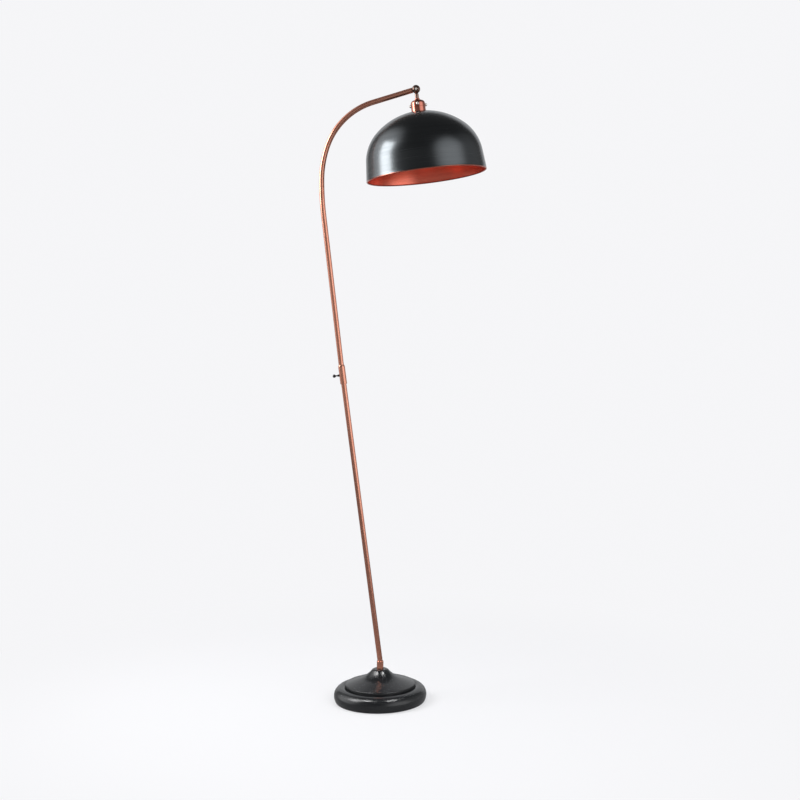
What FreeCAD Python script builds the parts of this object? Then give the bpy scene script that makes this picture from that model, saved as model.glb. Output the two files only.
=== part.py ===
"""Bridge floor lamp: a weighted round foot, a two-piece leaning pole with a curved arm,
a thumb screw at the joint of the pole, and a bowl shade on a tilting knuckle.

Frame: millimetres, origin on the floor at the centre of the foot, +Z up, +X the way
the arm reaches. The pole, the arm and the shade's axis all lie in the plane y = 0.
"""
import FreeCAD, Part
import math
import os
from FreeCAD import Placement, Rotation, Vector

# ------------------------------------------------------------------ driving sizes, mm
overall_height = 1645.0        # floor to the top of the knuckle ball

# foot
foot_d = 250.0                 # widest diameter of the foot's rounded ring
lip_tuck = 6.0                 # the ring's lower edge lies this far inside its widest line
foot_wall = 1.5                # spun steel cover
foot_lift = 1.0                # lower edge of the cover above the floor
ring_height = 16.5             # height of the ring's widest line
ring_round = 23.0              # radius of the ring's round
groove_round = 10.0            # tighter round from the ring's crest into the groove
ring_width = 30.0              # from the widest line in to the step of the dome
step_corner = 2.0
dome_slope = 21.0              # fall of the dome at the foot of the neck, degrees
dome_round = 670.0             # crown radius of the dome
neck_top_z = 86.5
neck_flat_r = 16.3             # flat seat round the ferrule
neck_shoulder = 11.0
neck_slope = 57.0              # fall of the neck's side, degrees
neck_flare = 51.0              # radius of the flare between neck and dome
neck_hole_gap = 1.2            # cover hole round the stud

# what the foot holds
felt_t = 2.0
felt_inset = 13.0              # edge of the felt inside the foot's widest line
plate_t = 1.0
plate_gap = 0.8                # bottom plate inside the cover's edge
weight_inset = 17.0            # edge of the weight inside the foot's widest line
weight_edge_z = 21.0           # height of the weight's edge
weight_round = 9.0
hub_r = 15.0                   # hub that carries the neck of the cover
hub_foot_r = 30.0
hub_foot_z = 40.0
recess_r = 17.0                # recess for the nut, under the weight
recess_z = 20.0
cord_channel_w = 9.0           # channel for the supply cord, under the weight
cord_channel_h = 10.0
cord_bush_z = 10.0             # height of the cord inlet in the back of the ring
cord_bush_bore = 3.6
cord_bush_neck = 4.8
cord_bush_flange = 6.4
cord_bush_flange_t = 1.6
cord_bush_length = 5.5         # behind the flange
plate_screw_count = 3
plate_screw_inset = 35.0       # their circle inside the foot's widest line
plate_screw_r = 2.0
plate_screw_head_r = 3.6
plate_screw_head_t = 1.4
plate_screw_depth = 8.0        # in the weight

# stud that clamps pole, ferrule, cover and weight together
stud_r = 5.0
stud_bore = 3.4
stud_gap = 0.2
stud_shank = 11.0              # length of the stud inside the pole
stud_tail = 2.5                # stud below the nut
washer_r = 12.5
washer_t = 2.0
nut_across = 17.0
nut_t = 5.0

# ferrule where the pole enters the foot
ferrule_r = 9.0
ferrule_h = 21.8
ferrule_floor = 6.0
ferrule_edge = 1.6

# pole
tube_d = 13.5
tube_wall = 1.0
seat_gap = 0.05                # radial gap of a seated or turning round fit
pole_lean = 7.1                # lean of the lower tube away from the arm's side, degrees
foot_bend = 60.0               # bend radius inside the ferrule
bend_height = 20.5             # corner of that bend above the neck of the foot

# sleeve that joins the two tubes
sleeve_r = 9.0
sleeve_length = 51.0
sleeve_socket = 33.0           # lower tube's depth in the sleeve
sleeve_taper = 6.0             # rounded shoulder at the upper end
sleeve_chamfer = 0.5
tube_meet_gap = 0.3            # between the ends of the tubes

# thumb screw in the sleeve
thumb_height = 24.0            # above the sleeve's lower end
thumb_ball_d = 9.0
thumb_reach = 22.5             # ball centre from the pole's axis
thumb_neck_r = 1.6
thumb_collar_r = 3.2
thumb_collar_l = 6.5
thumb_stand_off = 0.5          # collar above the sleeve
thumb_thread_r = 2.5
thumb_tip_gap = 0.3            # tip of the backed-off screw above the lower tube

# upper tube: a slight set, a straight run, then three arcs
set_angle = 0.77
set_radius = 300.0
set_offset = 6.0               # straight tube above the sleeve before the set
upper_run = 390.3
arm_radii = (737.0, 275.0, 184.5)
arm_turns = (7.13, 17.86, 54.56)
arm_end_run = 106.4            # straight tube before the knuckle

# knuckle
ball_r = 11.0
ball_flat = 8.6                # cheeks are faced off at this distance from the middle
tongue_t = 4.2
tongue_r = 7.4
tongue_w = 8.0
tongue_gap = 0.4               # round the tongue's head and at its stops
friction_t = 0.5
friction_r = 6.0
friction_gap = 0.3
collar_r = 6.6
collar_face = 12.5             # end face of the arm tube from the pivot
collar_rib_r = 7.4
collar_rib_t = 1.4
spigot_l = 14.0
wire_bore = 2.4
pivot_r = 2.0
pivot_head_r = 3.4
pivot_head_t = 2.0
pivot_nut_across = 6.6
pivot_nut_t = 2.6
pivot_pocket_gap = 0.2
pivot_slot_w = 0.9
pivot_slot_depth = 0.8
head_lean = 7.0                # rest tilt of the shade's axis, degrees
tilt_in = 18.0                 # travel towards the pole, degrees
tilt_out = 60.0                # travel away from the pole, degrees

# stem and lampholder, measured down the head's axis from the pivot
stem_r = 5.0
stem_start = 12.0
stem_bore = 1.5
cap_start = 24.4
cap_neck_r = 6.3
cap_hub_l = 8.0
cap_bell_end = 38.5            # where the bell becomes a straight skirt
cap_bell_round = 9.0
holder_r = 19.0
holder_wall = 1.2
cap_end = 47.0
holder_seat = 60.0             # the shade is clamped under this face
holder_spigot = 6.5            # cup inside the cap's skirt
holder_thread_r = 17.0
holder_thread_l = 20.0
holder_lip = 1.2
gallery_screw_count = 3
gallery_depth = 42.7
gallery_ball_r = 3.4
gallery_shank_r = 1.4
insulator_gap = 0.15
insulator_top_t = 8.0
socket_r = 13.4                # screw shell for an E27 lamp
socket_wall = 0.5
socket_length = 20.0
shell_lift = 0.8               # screw shell above the insulator's lower edge
contact_r = 3.2
contact_t = 1.0
contact_lift = 1.4
contact_gap = 0.3              # contact above the top of the screw shell
terminal_r = 2.2
terminal_h = 6.0
terminal_pitch = 15.0
shade_ring_r = 20.6
shade_ring_t = 3.0
shade_ring_skirt_r = 19.3
shade_ring_h = 8.0
ring_thread_gap = 0.1

# shade
shade_d = 320.0
shade_wall = 1.2
shade_seat_r = 21.0
shade_drop = 168.0             # rim below the seat of the lampholder
shade_shoulder = 113.0         # radius of the shoulder
shade_taper = 5.9              # taper of the skirt, degrees
shade_skirt = 52.0             # length of the straight skirt
shade_hem = 3.0                # turned-in hem at the rim
shade_hole_gap = 0.3

# ------------------------------------------------------------------ worked out
foot_r = foot_d / 2
lip_r = foot_r - lip_tuck
step_r = foot_r - ring_width
felt_r = foot_r - felt_inset
weight_r = foot_r - weight_inset
tube_r = tube_d / 2
tube_bore = tube_r - tube_wall
bend_z = neck_top_z + bend_height
ferrule_seat_z = neck_top_z + ferrule_floor
hub_top_z = neck_top_z - foot_wall
plate_z = felt_t + plate_t
slot_half = tongue_t / 2 + friction_t + friction_gap
shell_low = shell_lift - holder_seat - holder_thread_l + holder_lip
arm_end_angle = 90 + pole_lean - set_angle - sum(arm_turns)


def deg(angle):
    return math.radians(angle)


def unit(angle):
    """Unit vector in the plane y = 0, angle in degrees from +X towards +Z."""
    return Vector(math.cos(deg(angle)), 0, math.sin(deg(angle)))


def tilted(origin, lean):
    """Frame at origin whose z axis leans towards -X by lean degrees."""
    return Placement(origin, Rotation(Vector(0, 1, 0), -lean))


def on_arc(centre_r, centre_z, radius, angle):
    """Radius and height of a point on an arc."""
    point = Vector(centre_r, 0, centre_z) + unit(angle) * radius
    return point.x, point.z


def placed(shape, frame):
    """The shape moved from its own frame into the given one."""
    shape.Placement = frame.multiply(shape.Placement)
    return shape


# ------------------------------------------------------------------ shape helpers
class Outline:
    """Outline in the plane y = 0, drawn as lines and arcs."""

    def __init__(self, r, z):
        self.first = self.at = Vector(r, 0, z)
        self.edges = []

    def to(self, r, z):
        end = Vector(r, 0, z)
        if (end - self.at).Length > 1e-6:
            self.edges.append(Part.LineSegment(self.at, end).toShape())
            self.at = end
        return self

    def arc(self, centre_r, centre_z, radius, start, end):
        """Arc about a centre, angles in degrees, joined to the outline by a line."""
        centre = Vector(centre_r, 0, centre_z)
        first, middle, last = (centre + unit(a) * radius for a in (start, (start + end) / 2, end))
        self.to(first.x, first.z)
        if abs(radius * (end - start)) > 1e-6:
            self.edges.append(Part.Arc(first, middle, last).toShape())
            self.at = last
        return self

    def face(self):
        self.to(self.first.x, self.first.z)
        return Part.Face(Part.Wire(self.edges))

    def turned(self):
        return self.face().revolve(Vector(0, 0, 0), Vector(0, 0, 1), 360)


def wall_between(outside, inside):
    """Turned wall between two outlines that run the same way."""
    ends = [Part.LineSegment(outside.first, inside.first).toShape(),
            Part.LineSegment(outside.at, inside.at).toShape()]
    loop = Part.Wire(Part.__sortEdges__(outside.edges + inside.edges + ends))
    return Part.Face(loop).revolve(Vector(0, 0, 0), Vector(0, 0, 1), 360)


def ring(inner, outer, low, high):
    return Outline(inner, low).to(outer, low).to(outer, high).to(inner, high).turned()


def rod(radius, low, high):
    return Part.makeCylinder(radius, high - low, Vector(0, 0, low))


def cross_rod(radius, start, end, height=0.0):
    """Round bar along Y."""
    return Part.makeCylinder(radius, end - start, Vector(0, start, height), Vector(0, 1, 0))


def hexagon(across, low, high):
    corners = [Vector(across / math.sqrt(3) * math.cos(deg(60 * k)),
                      across / math.sqrt(3) * math.sin(deg(60 * k)), low) for k in range(7)]
    return Part.Face(Part.makePolygon(corners)).extrude(Vector(0, 0, high - low))


def box(x, y, z):
    """Box from (low, high) pairs."""
    return Part.makeBox(x[1] - x[0], y[1] - y[0], z[1] - z[0], Vector(x[0], y[0], z[0]))


class TubePath:
    """Centre line of a bent tube in the plane y = 0, heading given in degrees from +X."""

    def __init__(self, start, heading):
        self.start = self.at = start
        self.first_heading = self.heading = heading
        self.edges = []

    def run(self, length):
        end = self.at + unit(self.heading) * length
        self.edges.append(Part.LineSegment(self.at, end).toShape())
        self.at = end
        return self

    def bend(self, radius, turn):
        """Turn clockwise by turn degrees, or the other way when it is negative."""
        side = 1 if turn > 0 else -1
        centre = self.at + unit(self.heading - 90 * side) * radius
        points = [centre + unit(self.heading + 90 * side - turn * part) * radius
                  for part in (0.0, 0.5, 1.0)]
        self.edges.append(Part.Arc(*points).toShape())
        self.at = points[-1]
        self.heading -= turn
        return self

    def tube(self, outer, bore):
        spine = Part.Wire(self.edges)
        shells = []
        for radius in (outer, bore):
            section = Part.Wire(Part.makeCircle(radius, self.start, unit(self.first_heading)))
            shells.append(spine.makePipeShell([section], True, False))
        return shells[0].cut(shells[1])


# ------------------------------------------------------------------ where things are
def upper_centre_line(start):
    """Centre line of the upper tube from its lower end to its end face at the knuckle."""
    path = TubePath(start, 90 + pole_lean)
    path.run(sleeve_length - sleeve_socket + set_offset)
    path.bend(set_radius, set_angle).run(upper_run)
    for radius, turn in zip(arm_radii, arm_turns):
        path.bend(radius, turn)
    return path.run(arm_end_run)


def pole_length():
    """Straight length of the lower tube that puts the ball's top at the overall height."""
    rise = upper_centre_line(Vector(0, 0, 0)).at.z + collar_face * math.sin(deg(arm_end_angle))
    left = overall_height - ball_r - rise - bend_z
    return left / math.cos(deg(pole_lean))


pole_corner = Vector(0, 0, bend_z)
pole_dir = unit(90 + pole_lean)
tubes_meet = pole_corner + pole_dir * pole_length()
sleeve_frame = tilted(tubes_meet - pole_dir * sleeve_socket, pole_lean)
arm_path = upper_centre_line(tubes_meet)
pivot = arm_path.at + unit(arm_end_angle) * collar_face
head_frame = tilted(pivot, head_lean)
arm_end_frame = tilted(pivot, arm_end_angle - 90)


# ------------------------------------------------------------------ foot
ring_r = foot_r - ring_round
lip_rise = ring_height - foot_lift
lip_round = (lip_rise ** 2 + lip_tuck ** 2) / (2 * lip_tuck)
lip_centre_r = foot_r - lip_round


def cover_skin(inset):
    """Cover from its lower edge to the hole in its neck, at a distance inside its outer face."""
    lip_turn = math.degrees(math.asin(lip_rise / lip_round))
    line = Outline(*on_arc(lip_centre_r, ring_height, lip_round - inset, -lip_turn))
    line.arc(lip_centre_r, ring_height, lip_round - inset, -lip_turn, 0)
    line.arc(ring_r, ring_height, ring_round - inset, 0, 90)
    groove_turn = math.degrees(math.acos((step_r - ring_r) / groove_round))
    groove_z = ring_height + ring_round - groove_round
    line.arc(ring_r, groove_z, groove_round - inset, 90, groove_turn)
    corner = on_arc(ring_r, groove_z, groove_round, groove_turn)
    line.arc(corner[0], corner[1], inset, groove_turn + 180, 180)
    # from here the centres are worked out from the neck down to the step
    shoulder = Vector(neck_flat_r, 0, neck_top_z - neck_shoulder)
    flare = shoulder + unit(90 - neck_slope) * (neck_shoulder + neck_flare)
    dome = flare - unit(90 - dome_slope) * (neck_flare + dome_round)
    rim_r = step_r - step_corner
    rim_z = dome.z + math.sqrt((dome_round - step_corner) ** 2 - (rim_r - dome.x) ** 2)
    rim_turn = math.degrees(math.atan2(rim_z - dome.z, rim_r - dome.x))
    line.arc(rim_r, rim_z, step_corner - inset, 0, rim_turn)
    line.arc(dome.x, dome.z, dome_round - inset, rim_turn, 90 - dome_slope)
    line.arc(flare.x, flare.z, neck_flare + inset, 270 - dome_slope, 270 - neck_slope)
    line.arc(shoulder.x, shoulder.z, neck_shoulder - inset, 90 - neck_slope, 90)
    return line.to(stud_r + neck_hole_gap, neck_top_z - inset)


def base_cover():
    return wall_between(cover_skin(0), cover_skin(foot_wall)).cut(
        placed(rod(cord_bush_neck + seat_gap, -cord_bush_length, cord_bush_length), cord_frame()))


def cord_frame():
    """Frame on the back of the ring, its z axis square to the ring's surface."""
    fall = math.degrees(math.asin((ring_height - cord_bush_z) / lip_round))
    back, height = on_arc(lip_centre_r, ring_height, lip_round, -fall)
    return Placement(Vector(0, back, height), Rotation(Vector(1, 0, 0), -90 - fall))


def at_plate_screws(shape):
    """Copies of a shape at the screws of the bottom plate."""
    turns = [deg(30 + 360 / plate_screw_count * k) for k in range(plate_screw_count)]
    screw_ring = foot_r - plate_screw_inset
    spots = [Vector(math.cos(turn), math.sin(turn), 0) * screw_ring for turn in turns]
    return Part.makeCompound([shape.translated(spot) for spot in spots])


def base_weight():
    """Cast weight with a hub under the cover's neck, a nut recess and a cord channel."""
    line = Outline(stud_r + stud_gap, plate_z).to(weight_r, plate_z)
    line.arc(weight_r - weight_round, weight_edge_z - weight_round, weight_round, 0, 90)
    line.to(hub_foot_r + weight_round, weight_edge_z)
    line.to(hub_foot_r, hub_foot_z).to(hub_r + foot_wall, hub_top_z - neck_shoulder)
    line.to(hub_r, hub_top_z).to(stud_r + stud_gap, hub_top_z)
    channel = box((-cord_channel_w / 2, cord_channel_w / 2), (0, foot_r),
                  (plate_z - 1, plate_z + cord_channel_h))
    screw_holes = at_plate_screws(rod(plate_screw_r + seat_gap, plate_z - 1, plate_z + plate_screw_depth))
    return line.turned().cut(rod(recess_r, plate_z - 1, recess_z)).cut(channel).cut(screw_holes)


def base_plate():
    plate = rod(lip_r - foot_wall - plate_gap, felt_t, plate_z)
    return plate.cut(at_plate_screws(rod(plate_screw_r + stud_gap, felt_t - 1, plate_z + 1)))


def felt_pad():
    return rod(felt_r, 0, felt_t).cut(at_plate_screws(rod(plate_screw_head_r + 1, -1, felt_t + 1)))


def plate_screw_set():
    head = rod(plate_screw_head_r, felt_t - plate_screw_head_t, felt_t)
    return at_plate_screws(head.fuse(rod(plate_screw_r, felt_t, plate_z + plate_screw_depth - 0.3)))


def cord_bush():
    """Flanged bush in the back of the ring, with a snap ridge behind the skin."""
    edge, ridge = cord_bush_flange - 0.8, foot_wall + 1.8
    line = Outline(cord_bush_bore, cord_bush_flange_t).to(edge, cord_bush_flange_t)
    line.to(cord_bush_flange, cord_bush_flange_t - 0.8).to(cord_bush_flange, 0)
    line.to(cord_bush_neck, 0).to(cord_bush_neck, 0.4 - ridge).to(cord_bush_neck + 0.7, -ridge)
    line.to(cord_bush_neck, -cord_bush_length).to(cord_bush_bore, -cord_bush_length)
    return placed(line.turned(), cord_frame())


def foot_washer():
    return ring(stud_r + stud_gap, washer_r, recess_z - washer_t, recess_z)


def foot_nut():
    top = recess_z - washer_t
    return hexagon(nut_across, top - nut_t, top).cut(rod(stud_r + seat_gap, top - nut_t, top))


def foot_stud():
    """Hollow stud: a shank seated in the pole and a thread down to the nut."""
    low = recess_z - washer_t - nut_t - stud_tail
    line = Outline(stud_bore, low).to(stud_r, low).to(stud_r, ferrule_seat_z)
    line.to(tube_bore - seat_gap, ferrule_seat_z).to(tube_bore - seat_gap, ferrule_seat_z + stud_shank)
    return line.to(stud_bore, ferrule_seat_z + stud_shank).turned()


def ferrule():
    top = neck_top_z + ferrule_h
    bore = tube_r + stud_gap
    line = Outline(stud_r + stud_gap, neck_top_z).to(ferrule_r, neck_top_z)
    line.arc(ferrule_r - ferrule_edge, top - ferrule_edge, ferrule_edge, 0, 90)
    line.to(bore + 0.3, top).to(bore, top - ferrule_edge).to(bore, ferrule_seat_z)
    return line.to(stud_r + stud_gap, ferrule_seat_z).turned()


# ------------------------------------------------------------------ pole and arm
def lower_tube():
    tangent = foot_bend * math.tan(deg(pole_lean) / 2)
    path = TubePath(Vector(0, 0, ferrule_seat_z), 90).run(bend_z - tangent - ferrule_seat_z)
    path.bend(foot_bend, -pole_lean).run(pole_length() - tangent - tube_meet_gap)
    return path.tube(tube_r, tube_bore)


def sleeve():
    bore = tube_r + seat_gap
    end = bore + 0.6
    line = Outline(bore, 0).to(sleeve_r - sleeve_chamfer, 0).to(sleeve_r, sleeve_chamfer)
    shoulder = sleeve_length - sleeve_taper
    depth = sleeve_r - end
    round_r = (sleeve_taper ** 2 + depth ** 2) / (2 * depth)
    line.arc(sleeve_r - round_r, shoulder, round_r, 0, math.degrees(math.asin(sleeve_taper / round_r)))
    body = line.to(bore, sleeve_length).turned()
    hole = Part.makeCylinder(thumb_thread_r + seat_gap, sleeve_r + 1,
                             Vector(0, 0, thumb_height), Vector(-1, 0, 0))
    body = body.cut(hole)
    body.Placement = sleeve_frame
    return body


def thumb_screw():
    """Ball head, thin neck, tapered collar and thread, along the sleeve's -x side."""
    ball_r_ = thumb_ball_d / 2
    collar_at = sleeve_r + thumb_stand_off
    tip = tube_r + thumb_tip_gap
    neck_at = collar_at + thumb_collar_l
    meet = math.sqrt(ball_r_ ** 2 - thumb_neck_r ** 2)
    line = Outline(0, tip).to(thumb_thread_r - 0.5, tip).to(thumb_thread_r, tip + 0.5)
    line.to(thumb_thread_r, collar_at).to(thumb_collar_r, collar_at)
    line.to(thumb_collar_r, collar_at + 1.5).to(thumb_neck_r, neck_at)
    neck_angle = math.degrees(math.atan2(-meet, thumb_neck_r))
    line.arc(0, thumb_reach, ball_r_, neck_angle, 90)
    screw = line.turned()
    out = Placement(Vector(0, 0, thumb_height), Rotation(Vector(0, 1, 0), -90))
    screw.Placement = sleeve_frame.multiply(out)
    return screw


def upper_tube():
    return arm_path.tube(tube_r, tube_bore)


# ------------------------------------------------------------------ knuckle
def stop_line(tilt, side):
    """Two points on the face that stops the tongue's neck at a tilt, in the head's rest frame."""
    down, across = unit(270 + tilt), unit(tilt)
    offset = across * (side * (tongue_w / 2 + tongue_gap))
    return offset, offset + down * (4 * ball_r)


def tongue_slot():
    """Room for the tongue's head and the sweep of its neck between the two stops."""
    head = cross_rod(tongue_r + tongue_gap, -slot_half, slot_half)
    near_in, far_in = stop_line(-tilt_in, -1)
    near_out, far_out = stop_line(tilt_out, 1)
    middle = unit(270 + (tilt_out - tilt_in) / 2) * (6 * ball_r)
    corners = [near_in, far_in, middle, far_out, near_out]
    sweep = Part.Face(Part.makePolygon(corners + corners[:1])).extrude(Vector(0, 2 * slot_half, 0))
    sweep.translate(Vector(0, -slot_half, 0))
    slot = head.fuse(sweep)
    slot.Placement = head_frame
    return slot


def arm_knuckle():
    """Slotted ball on the end of the arm, with its spigot inside the tube."""
    ball = Part.makeSphere(ball_r).common(
        box((-ball_r, ball_r), (-ball_flat, ball_flat), (-ball_r, ball_r)))
    ball.Placement = arm_end_frame
    line = Outline(0, 0).to(0, -collar_face - spigot_l).to(tube_bore - seat_gap, -collar_face - spigot_l)
    line.to(tube_bore - seat_gap, -collar_face).to(tube_r - 0.4, -collar_face)
    line.to(collar_r, -collar_face + 0.6).to(collar_r, -collar_face + 1.0)
    line.to(collar_rib_r, -collar_face + 1.0).to(collar_rib_r, -collar_face + 1.0 + collar_rib_t)
    line.to(collar_r - 0.8, -collar_face + 1.0 + collar_rib_t).to(collar_r - 0.8, 0)
    neck = line.turned()
    neck.Placement = arm_end_frame
    bore = rod(wire_bore, -collar_face - spigot_l - 1, 0)
    bore.Placement = arm_end_frame
    body = ball.fuse(neck).cut(bore).cut(tongue_slot())
    pocket = pivot_head_t + 0.3
    cuts = [cross_rod(pivot_r + seat_gap, -ball_r, ball_r),
            cross_rod(pivot_head_r + pivot_pocket_gap, -ball_r, pocket - ball_flat)]
    nut = hexagon(pivot_nut_across + 2 * pivot_pocket_gap, ball_flat - pivot_nut_t - 0.2, ball_r)
    nut.Placement = Placement(Vector(0, 0, 0), Rotation(Vector(1, 0, 0), -90))
    for cut in cuts + [nut]:
        cut.Placement = arm_end_frame.multiply(cut.Placement)
        body = body.cut(cut)
    return body


def pivot_screw():
    face = ball_flat - 0.3
    head = cross_rod(pivot_head_r, -face, pivot_head_t - face)
    slot = box((-pivot_head_r, pivot_head_r), (-face, pivot_slot_depth - face),
               (-pivot_slot_w / 2, pivot_slot_w / 2))
    screw = head.cut(slot).fuse(cross_rod(pivot_r, pivot_head_t - face, ball_flat))
    screw.Placement = arm_end_frame.multiply(screw.Placement)
    return screw


def pivot_nut():
    nut = hexagon(pivot_nut_across, ball_flat - pivot_nut_t - 0.2, ball_flat - 0.2)
    nut = nut.cut(rod(pivot_r + seat_gap, 0, ball_r))
    nut.Placement = arm_end_frame.multiply(Placement(Vector(0, 0, 0), Rotation(Vector(1, 0, 0), -90)))
    return nut


def head_knuckle():
    """Tongue that turns in the ball, and the threaded stem that carries the lampholder."""
    half = tongue_t / 2
    flat = box((-tongue_w / 2, tongue_w / 2), (-half, half), (-stem_start - 1, 0))
    tongue = cross_rod(tongue_r, -half, half).fuse(flat)
    stem_end = cap_start + cap_hub_l
    line = Outline(0, -stem_start).to(stem_r - 1.0, -stem_start)
    line.arc(stem_r - 1.0, -stem_start - 1.0, 1.0, 90, 0).to(stem_r, -stem_end).to(0, -stem_end)
    body = tongue.fuse(line.turned())
    body = body.cut(cross_rod(pivot_r + seat_gap, -ball_r, ball_r))
    wire_top = pivot_r + 3.2
    body = body.cut(rod(stem_bore, -stem_end - 1, -wire_top))
    window = Part.makeCylinder(0.8 * stem_bore, tongue_w, Vector(0, 0, -wire_top - stem_bore),
                               Vector(-1, 0, 0))
    body = body.cut(window)
    body.Placement = head_frame
    return body


def friction_washers():
    half = tongue_t / 2
    washers = []
    for start in (-half - friction_t, half):
        washer = cross_rod(friction_r, start, start + friction_t)
        washers.append(washer.cut(cross_rod(pivot_r + seat_gap, -ball_r, ball_r)))
    group = Part.makeCompound(washers)
    group.Placement = head_frame
    return group


# ------------------------------------------------------------------ lampholder
def lampholder_cap():
    """Bell cap: threaded hub, hollow flare, round shoulder and straight skirt."""
    wall_r = holder_r - holder_wall
    shoulder_z = -cap_bell_end
    hub_end = -cap_start - cap_hub_l
    bell = cap_bell_round
    flare_r = holder_r - bell - cap_neck_r
    line = Outline(stem_r + seat_gap, -cap_start).to(cap_neck_r, -cap_start)
    line.arc(cap_neck_r + flare_r, -cap_start - 0.8, flare_r, 180, 270)
    line.arc(holder_r - bell, shoulder_z, bell, 90, 0)
    line.to(holder_r, -cap_end).to(wall_r, -cap_end)
    line.arc(holder_r - bell, shoulder_z, bell - holder_wall, 0, 70)
    line.to(stem_r + 1.6, hub_end).to(stem_r + seat_gap, hub_end)
    cap = line.turned().cut(screw_holes(gallery_shank_r + seat_gap))
    cap.Placement = head_frame
    return cap


def gallery_places():
    """Turns about the head's axis that put one screw to the front."""
    return [Placement(Vector(0, 0, -gallery_depth), Rotation(Vector(0, 0, 1), -90 + 360 / gallery_screw_count * k))
            for k in range(gallery_screw_count)]


def along_x(shape, place):
    """A shape drawn up the z axis is laid along x and put in its place."""
    shape.Placement = place.multiply(Placement(Vector(0, 0, 0), Rotation(Vector(0, 1, 0), 90)))
    return shape


def screw_holes(radius):
    inside = holder_r - 2 * holder_wall - 1.5
    return Part.makeCompound([along_x(rod(radius, inside, holder_r + 1), place)
                              for place in gallery_places()])


def gallery_screw_set():
    tip = holder_r - 2 * holder_wall - 0.6
    centre = holder_r + gallery_ball_r - 0.1
    meet = math.degrees(math.asin(gallery_shank_r / gallery_ball_r))
    screws = []
    for place in gallery_places():
        line = Outline(0, tip).to(gallery_shank_r, tip)
        line.arc(0, centre, gallery_ball_r, -90 + meet, 90)
        screws.append(along_x(line.turned(), place))
    group = Part.makeCompound(screws)
    group.Placement = head_frame
    return group


def lampholder_cup():
    """Outer cup: spigot inside the cap, body, seat for the shade and threaded skirt."""
    spigot_r = holder_r - holder_wall - seat_gap
    spigot_in = spigot_r - holder_wall
    low = -holder_seat - holder_thread_l
    line = Outline(spigot_in, -cap_end + holder_spigot).to(spigot_r, -cap_end + holder_spigot)
    line.to(spigot_r, -cap_end).to(holder_r, -cap_end).to(holder_r, -holder_seat)
    line.to(holder_thread_r, -holder_seat).to(holder_thread_r, low)
    line.to(insulator_r() - 1.4, low).to(insulator_r() - 1.4, low + holder_lip)
    line.to(insulator_r() + insulator_gap, low + holder_lip)
    line.to(insulator_r() + insulator_gap, -cap_end - 1.0).to(spigot_in, -cap_end)
    cup = line.turned().cut(screw_holes(gallery_shank_r + seat_gap))
    cup.Placement = head_frame
    return cup


def insulator_r():
    """Outside radius of the insulator inside the threaded skirt."""
    return holder_thread_r - holder_wall - insulator_gap


def insulator():
    """Glazed insert that holds the screw shell, the contact and the terminals."""
    low = shell_low - shell_lift
    shell_top = shell_low + socket_length
    bore = socket_r + socket_wall + seat_gap
    line = Outline(0, contact_floor()).to(2 * contact_r + stud_gap, contact_floor())
    line.to(2 * contact_r + stud_gap, shell_top).to(bore, shell_top).to(bore, low)
    line.to(insulator_r(), low).to(insulator_r(), shell_top + insulator_top_t)
    body = line.to(0, shell_top + insulator_top_t).turned()
    hole = rod(terminal_r + seat_gap, shell_top + insulator_top_t - terminal_h / 2, 0)
    return placed(body.cut(at_terminals(hole)), head_frame)


def contact_floor():
    """Height of the recess above the screw shell that the contact sits in."""
    return shell_low + socket_length + contact_gap + contact_lift + contact_t


def at_terminals(shape):
    """The shape at each of the two terminals."""
    return Part.makeCompound([shape.translated(Vector(side * terminal_pitch / 2, 0, 0)) for side in (-1, 1)])


def thread_shell():
    shell = ring(socket_r, socket_r + socket_wall, shell_low, shell_low + socket_length)
    return placed(shell, head_frame)


def centre_contact():
    """Sprung contact: a disc on the floor of its recess with a raised middle."""
    floor = contact_floor()
    line = Outline(0, floor).to(2 * contact_r, floor).to(2 * contact_r, floor - contact_t)
    line.to(contact_r, floor - contact_t).to(contact_r - 0.8, floor - contact_t - contact_lift)
    return placed(line.to(0, floor - contact_t - contact_lift).turned(), head_frame)


def terminals():
    top = shell_low + socket_length + insulator_top_t
    post = rod(terminal_r, top - terminal_h / 2, top + terminal_h / 2)
    post = post.cut(cross_rod(terminal_r / 3, -terminal_r - 1, terminal_r + 1, top + terminal_h / 4))
    return placed(at_terminals(post), head_frame)


def shade_ring():
    bore = holder_thread_r + ring_thread_gap
    top = -holder_seat - shade_wall
    line = Outline(bore, top).to(shade_ring_r, top).to(shade_ring_r, top - shade_ring_t)
    line.to(shade_ring_skirt_r, top - shade_ring_t).to(shade_ring_skirt_r, top - shade_ring_h)
    body = line.to(bore, top - shade_ring_h).turned()
    body.Placement = head_frame
    return body


# ------------------------------------------------------------------ shade
def shade_side(inset):
    """Crown, shoulder and skirt from the seat down, at a distance inside the outer skin."""
    rim_r, top = shade_d / 2, -holder_seat
    rim_z = top - shade_drop
    skirt_dir = unit(90 + shade_taper)
    skirt_top = Vector(rim_r, 0, rim_z) + skirt_dir * shade_skirt
    shoulder_c = skirt_top - unit(shade_taper) * shade_shoulder
    # the crown is centred on the axis, touches the shoulder and ends on the flat seat
    low, high = shade_taper, 89.0
    for _ in range(60):
        angle = (low + high) / 2
        touch = shoulder_c + unit(angle) * shade_shoulder
        crown = touch.x / math.cos(deg(angle))
        centre_z = touch.z - crown * math.sin(deg(angle))
        seat_z = centre_z + math.sqrt(crown ** 2 - shade_seat_r ** 2)
        if seat_z > top:
            low = angle
        else:
            high = angle
    seat_angle = math.degrees(math.acos(shade_seat_r / crown))
    line = Outline(holder_thread_r + shade_hole_gap, top - inset)
    line.arc(0, centre_z, crown - inset, seat_angle, angle)
    line.arc(shoulder_c.x, shoulder_c.z, shade_shoulder - inset, angle, shade_taper)
    foot = Vector(rim_r, 0, rim_z) - unit(shade_taper) * inset
    return line, foot


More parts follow.
